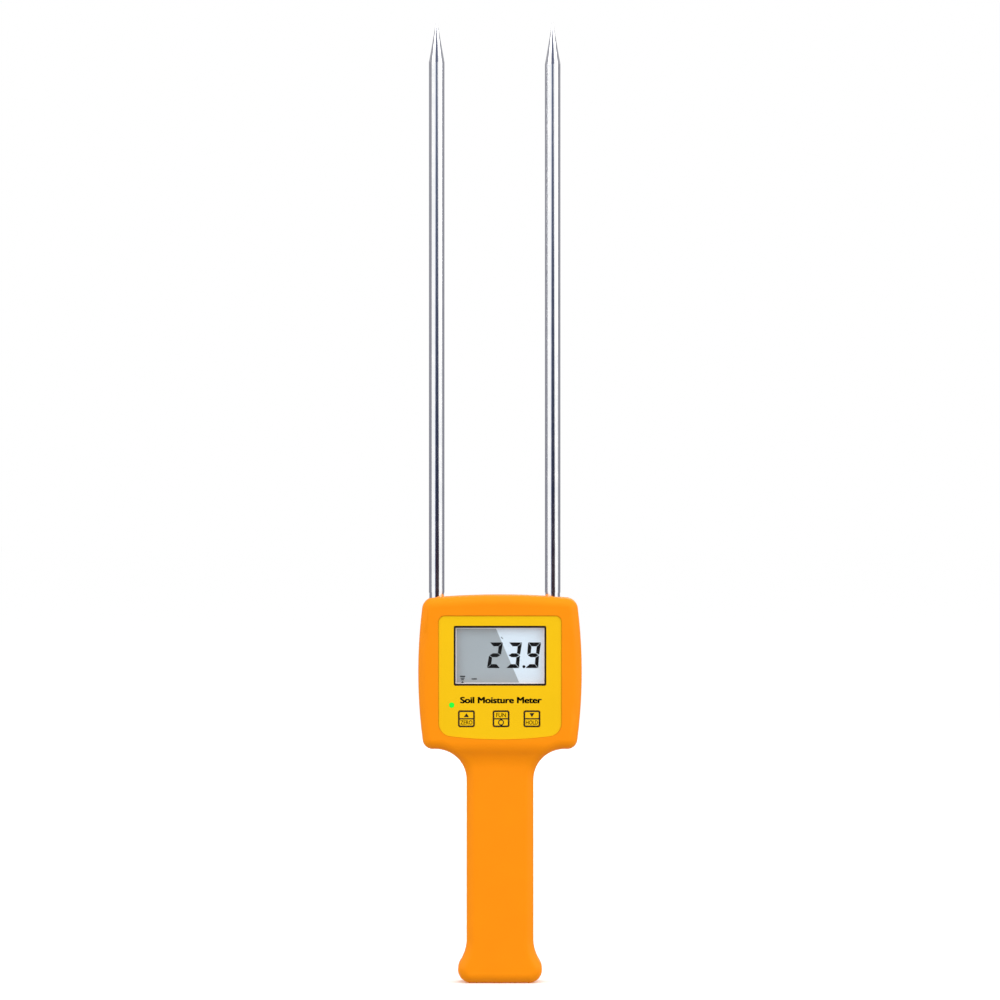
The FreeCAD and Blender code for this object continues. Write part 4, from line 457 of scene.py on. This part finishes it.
PRINT = 0.02 * MM
film_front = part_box("face_overlay")[0].y
window_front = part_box("display_window")[0].y
glass_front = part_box("lcd_glass")[0].y

window_frame = [frame_line(WINDOW, 44.1, 28.4, 1.1, 0.9)]
film("window_frame_print", window_frame, window_front, PRINT, ink, "housing")
# A pale line just inside the window frame that glows: a painted highlight.
display_edge_painted_highlight = [frame_line(WINDOW, 42.5, 26.8, 0.3, 0.5)]
film("display_border_painted_highlight", display_edge_painted_highlight, glass_front, PRINT / 2, lcd_edge_painted_highlight, "housing")

# What the display shows, measured from the window's middle. A digit stands in a box WIDE by TALL, its strokes
# are STROKE wide with a gap of NICK round each, and it leans by LEAN across for each millimetre up.
WIDE, TALL, STROKE, NICK = 6.2, 12.2, 1.85, 0.1
LEAN = math.tan(math.radians(6.5))
DIGITS_FOOT = -5.9
MID, HALF = TALL / 2, STROKE / 2
NEAR, FAR = STROKE + NICK, WIDE - STROKE - NICK
TOP_BAR = [(NICK, TALL), (WIDE - NICK, TALL), (FAR, TALL - STROKE), (NEAR, TALL - STROKE)]
UPPER_LEFT = [(0, TALL - NICK), (STROKE, TALL - NEAR), (STROKE, MID + HALF + NICK), (0.25, MID + 0.25)]
MIDDLE_BAR = [(0.5, MID), (NEAR, MID + HALF), (FAR, MID + HALF), (WIDE - 0.5, MID), (FAR, MID - HALF),
              (NEAR, MID - HALF)]


def flipped(points, across=False, up=False):
    return [(WIDE - x if across else x, TALL - z if up else z) for x, z in points]


SEGMENTS = {
    "a": TOP_BAR,
    "b": flipped(UPPER_LEFT, across=True),
    "c": flipped(UPPER_LEFT, across=True, up=True),
    "d": flipped(TOP_BAR, up=True),
    "e": flipped(UPPER_LEFT, up=True),
    "f": UPPER_LEFT,
    "g": MIDDLE_BAR,
}


def digit(left, lit):
    return [[(left + x + z * LEAN, DIGITS_FOOT + z) for x, z in SEGMENTS[s]] for s in lit]


def triangle(middle, width, height, up=True):
    tip = height / 2 if up else -height / 2
    x, z = middle
    return [(x - width / 2, z - tip), (x + width / 2, z - tip), (x, z + tip)]


two, three, nine = digit(-6.2, "abged"), digit(2.9, "abgcd"), digit(12.0, "abcdfg")
point = ring_of((11.4, -5.25), 0.72, 20)
accent = [(0.35, 8.9), (0.85, 8.9), (1.5, 8.1), (1.0, 8.1)]
MARK_X = -17.85
mark = [bar((MARK_X, -9.85), 2.5, 0.55), bar((MARK_X, -10.7), 1.9, 0.5), bar((MARK_X, -11.5), 1.3, 0.5)]
mark += [triangle((MARK_X, -12.55), 1.4, 0.9)]
dash = bar((-12.3, -11.1), 2.6, 0.5)
shown = [moved(shape, WINDOW) for shape in two + three + nine + [point, accent] + mark + [dash]]
film("display_segments", shown, glass_front, PRINT, lcd_black, "housing")

TITLE = (WINDOW[0] + 0.45, WINDOW[1] - 21.1)
lettering("overlay_title", "Soil Moisture Meter", TITLE, 38.9, 3.1, film_front, ink, "housing",
          bold=0.045)

# A key's print, measured from the key's middle: an outline with a dividing line, marks and a word.
UPPER_HALF, LOWER_HALF = 1.75, -1.75


def key_print(key, marks, text, text_rise, text_width):
    body = f"{key}_key"
    middle = middle_of(f"key_{key}")
    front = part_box(f"key_{key}")[0].y
    outline = [frame_line((0, 0), 7.75, 7.75, 1.0, 0.65), bar((0, 0), 6.5, 0.6)]
    shapes = [moved(shape, middle) for shape in outline + marks]
    film(f"{key}_key_print", shapes, front, PRINT, ink, body)
    text_middle = (middle[0], middle[1] + text_rise)
    lettering(f"{key}_key_word", text, text_middle, text_width, 2.0, front, ink, body,
              bold=0.01)


def octagon(middle, radius):
    return ring_of(middle, radius, 8, math.pi / 8)


key_print("zero", [triangle((0, UPPER_HALF), 2.4, 1.9)], "ZERO", LOWER_HALF, 5.7)
ring = (octagon((0, LOWER_HALF), 1.5), octagon((0, LOWER_HALF), 0.98))
ticks = [bar((0, LOWER_HALF + side * 1.55), 0.9, 0.35) for side in (-1, 1)]
key_print("function", [ring] + ticks, "FUN", UPPER_HALF, 4.6)
key_print("hold", [triangle((0, UPPER_HALF), 2.4, 1.9, up=False)], "HOLD", LOWER_HALF, 5.7)

# The rear label's print.
label_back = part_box("rear_label")[1].y
lines = [frame_line(LABEL, 42.5, 30.5, 1.6, 0.3)]
for rise, thick in ((6.4, 0.3), (-0.6, 0.2), (-7.6, 0.2)):
    lines.append(bar((LABEL[0], LABEL[1] + rise), 39, thick))
film("rear_label_lines", lines, label_back, PRINT, ink, "housing", facing=1)
for row, (text, width, tall, rise) in enumerate((
    ("Soil Moisture Meter", 33, 2.9, 10.2),
    ("Range  0 - 50 %", 24, 2.1, 3.0),
    ("Battery  4 x 1.5 V  AAA", 33, 2.1, -4.1),
    ("Probes  275 mm", 23, 2.1, -11.2),
)):
    middle = (LABEL[0], LABEL[1] + rise)
    lettering(f"rear_label_text_{row}", text, middle, width, tall, label_back, ink, "housing",
              bold=0.012, facing=1)


# The studio: a pale floor, soft lights, and boards that only show as reflections.


def staged(name, verts, faces, material):
    """A mesh that belongs to the studio."""
    mesh = bpy.data.meshes.new(name)
    mesh.from_pydata(verts, [], faces)
    mesh.materials.append(material)
    made = bpy.data.objects.new(name, mesh)
    bpy.context.scene.collection.objects.link(made)
    return made


def sheet(name, corners, material):
    return staged(name, corners, [tuple(range(len(corners)))], material)


def square(half, height):
    return [(-half, -half, height), (half, -half, height), (half, half, height), (-half, half, height)]


def reflected_only(made):
    made.visible_camera = False
    made.visible_diffuse = False
    made.visible_shadow = False


def glowing(name, stops):
    """A board's colour by height, as (height in metres, colour) pairs."""
    material = new_material(name)
    tree = material.node_tree
    height = split(tree)[2]
    colour = stops[0][1]
    for (low_end, _), (high_end, next_colour) in zip(stops, stops[1:]):
        colour = blend(tree, remap(tree, height, low_end, high_end), colour, next_colour)
    shader = add(tree, "Emission", {"Color": colour, "Strength": 1.0})
    add(tree, "OutputMaterial", {"Surface": shader.outputs[0]})
    return material


def board_at(name, start, end, radius, low_z, high_z, material, steps=16):
    """A curved upright board round the object. start and end each hold two angles, at the board's lower and
    upper edge, in degrees to the right of the camera."""
    verts, faces = [], []
    for i in range(steps + 1):
        for first, last, z in ((start[0], end[0], low_z), (start[1], end[1], high_z)):
            angle = math.radians(first + (last - first) * i / steps)
            verts.append((radius * math.sin(angle), -radius * math.cos(angle), z))
    for i in range(steps):
        faces.append((2 * i, 2 * i + 2, 2 * i + 3, 2 * i + 1))
    reflected_only(staged(name, verts, faces, material))


def floor_board(name, start, end, material, steps=12):
    """A sector of the floor from close to the object out to the boards, for views from above."""
    angles = [math.radians(start + (end - start) * i / steps) for i in range(steps + 1)]
    near, far = 0.15, 3.8
    outer = [(far * math.sin(a), -far * math.cos(a), MM) for a in angles]
    inner = [(near * math.sin(a), -near * math.cos(a), MM) for a in reversed(angles)]
    reflected_only(sheet(name, outer + inner, material))


FLOOR_HALF = 30
floor_paint = finish("floor_paint", (1, 1, 1, 1), (0.7, 0.8), 2 * MM, 1e-5, 0.003, 0.2,
                     fixed={"Specular IOR Level": 0.0})
sheet("floor", square(FLOOR_HALF, 0), floor_paint)

BOARD_RADIUS = 3.9
# Its foot is dark red-brown: a painted reflection of the shaded orange housing, seen in the rods.
dark = glowing("dark_board", [(0.1, (0.048, 0.018, 0.012, 1)), (0.22, (0.022, 0.027, 0.055, 1)),
                              (0.7, (0.12, 0.14, 0.21, 1))])
board_at("board_front", (-22, -6), (50, 5), BOARD_RADIUS, -0.2, 0.9, dark)
soft_dark = glowing("soft_dark_board", [(0.1, (0.15, 0.18, 0.30, 1)), (0.7, (0.42, 0.47, 0.60, 1))])
board_at("board_front_edge", (-32, -14), (-22, -6), BOARD_RADIUS, -0.2, 0.9, soft_dark)
tip_dark = glowing("tip_board", [(1.0, (0.10, 0.12, 0.20, 1)), (3.4, (0.14, 0.15, 0.22, 1))])
board_at("board_tips", (-19, -19), (22, 22), BOARD_RADIUS, 1.0, 3.4, tip_dark)
grey = glowing("grey_board", [(0.0, (0.23, 0.23, 0.27, 1)), (1.2, (0.38, 0.38, 0.41, 1))])
board_at("board_back", (88, 88), (280, 280), BOARD_RADIUS, 0.0, 2.6, grey, 32)
black_strip = glowing("black_strip", [(0.0, (0.05, 0.052, 0.06, 1)), (1.2, (0.10, 0.105, 0.12, 1))])
board_at("board_back_middle", (163, 163), (193, 193), BOARD_RADIUS - 0.1, 0.0, 2.6, black_strip)
for name, start, end, material in (
    ("floor_front_dark", -16, 34, black_strip),
    ("floor_back_grey", 88, 163, grey),
    ("floor_back_dark", 163, 193, black_strip),
    ("floor_back_grey_left", 193, 280, grey),
):
    floor_board(name, start, end, material)


def low_card():
    """Dims the light that the floor throws up at the object. The floor itself is lit and seen as before."""
    material = new_material("low_card")
    tree = material.node_tree
    glow = add(tree, "Emission", {"Color": (0.56, 0.56, 0.56, 1), "Strength": 1.0}).outputs[0]
    through = add(tree, "BsdfTransparent").outputs[0]
    under = add(tree, "NewGeometry").outputs["Backfacing"]
    mixed = add(tree, "MixShader", {0: under, 1: glow, 2: through})
    add(tree, "OutputMaterial", {"Surface": mixed.outputs[0]})
    made = sheet("low_card", square(FLOOR_HALF, 0.4 * MM), material)
    made.visible_camera = False
    made.visible_glossy = False
    made.visible_shadow = False


low_card()


def softbox(name, position, power):
    """A square light that faces the middle of the housing."""
    light = bpy.data.lights.new(name, "AREA")
    light.shape = "SQUARE"
    light.size = 1.4
    light.energy = power
    made = bpy.data.objects.new(name, light)
    made.location = position
    made.rotation_euler = (Vector((0, 0, 0.2)) - Vector(position)).to_track_quat("-Z", "Y").to_euler()
    bpy.context.scene.collection.objects.link(made)


softbox("light_left", (-2.6, -1.7, 1.4), 23)
softbox("light_right", (2.7, -1.5, 1.1), 31)
softbox("light_top", (0, -1.2, 2.6), 12)
softbox("light_rear", (0.8, 2.9, 1.6), 26)

world = bpy.data.worlds.new("studio")
world.use_nodes = True
sky = world.node_tree.nodes["Background"]
sky.inputs["Color"].default_value = (1, 1, 1, 1)
sky.inputs["Strength"].default_value = 1.0
bpy.context.scene.world = world

# The camera stands level. VIEW_WIDTH is what it takes in at the plane of the head's face.
CAMERA_Y, CAMERA_Z = -3.5, 0.2305
VIEW_WIDTH = 0.4762
camera = bpy.data.cameras.new("camera")
camera.sensor_width = 36
camera.lens = camera.sensor_width * (cad_box[0][1] - CAMERA_Y) / VIEW_WIDTH
camera_object = bpy.data.objects.new("camera", camera)
camera_object.location = (0, CAMERA_Y, CAMERA_Z)
camera_object.rotation_euler = (math.radians(90), 0, 0)
bpy.context.scene.collection.objects.link(camera_object)
bpy.context.scene.camera = camera_object
bpy.context.scene.view_settings.view_transform = "Standard"
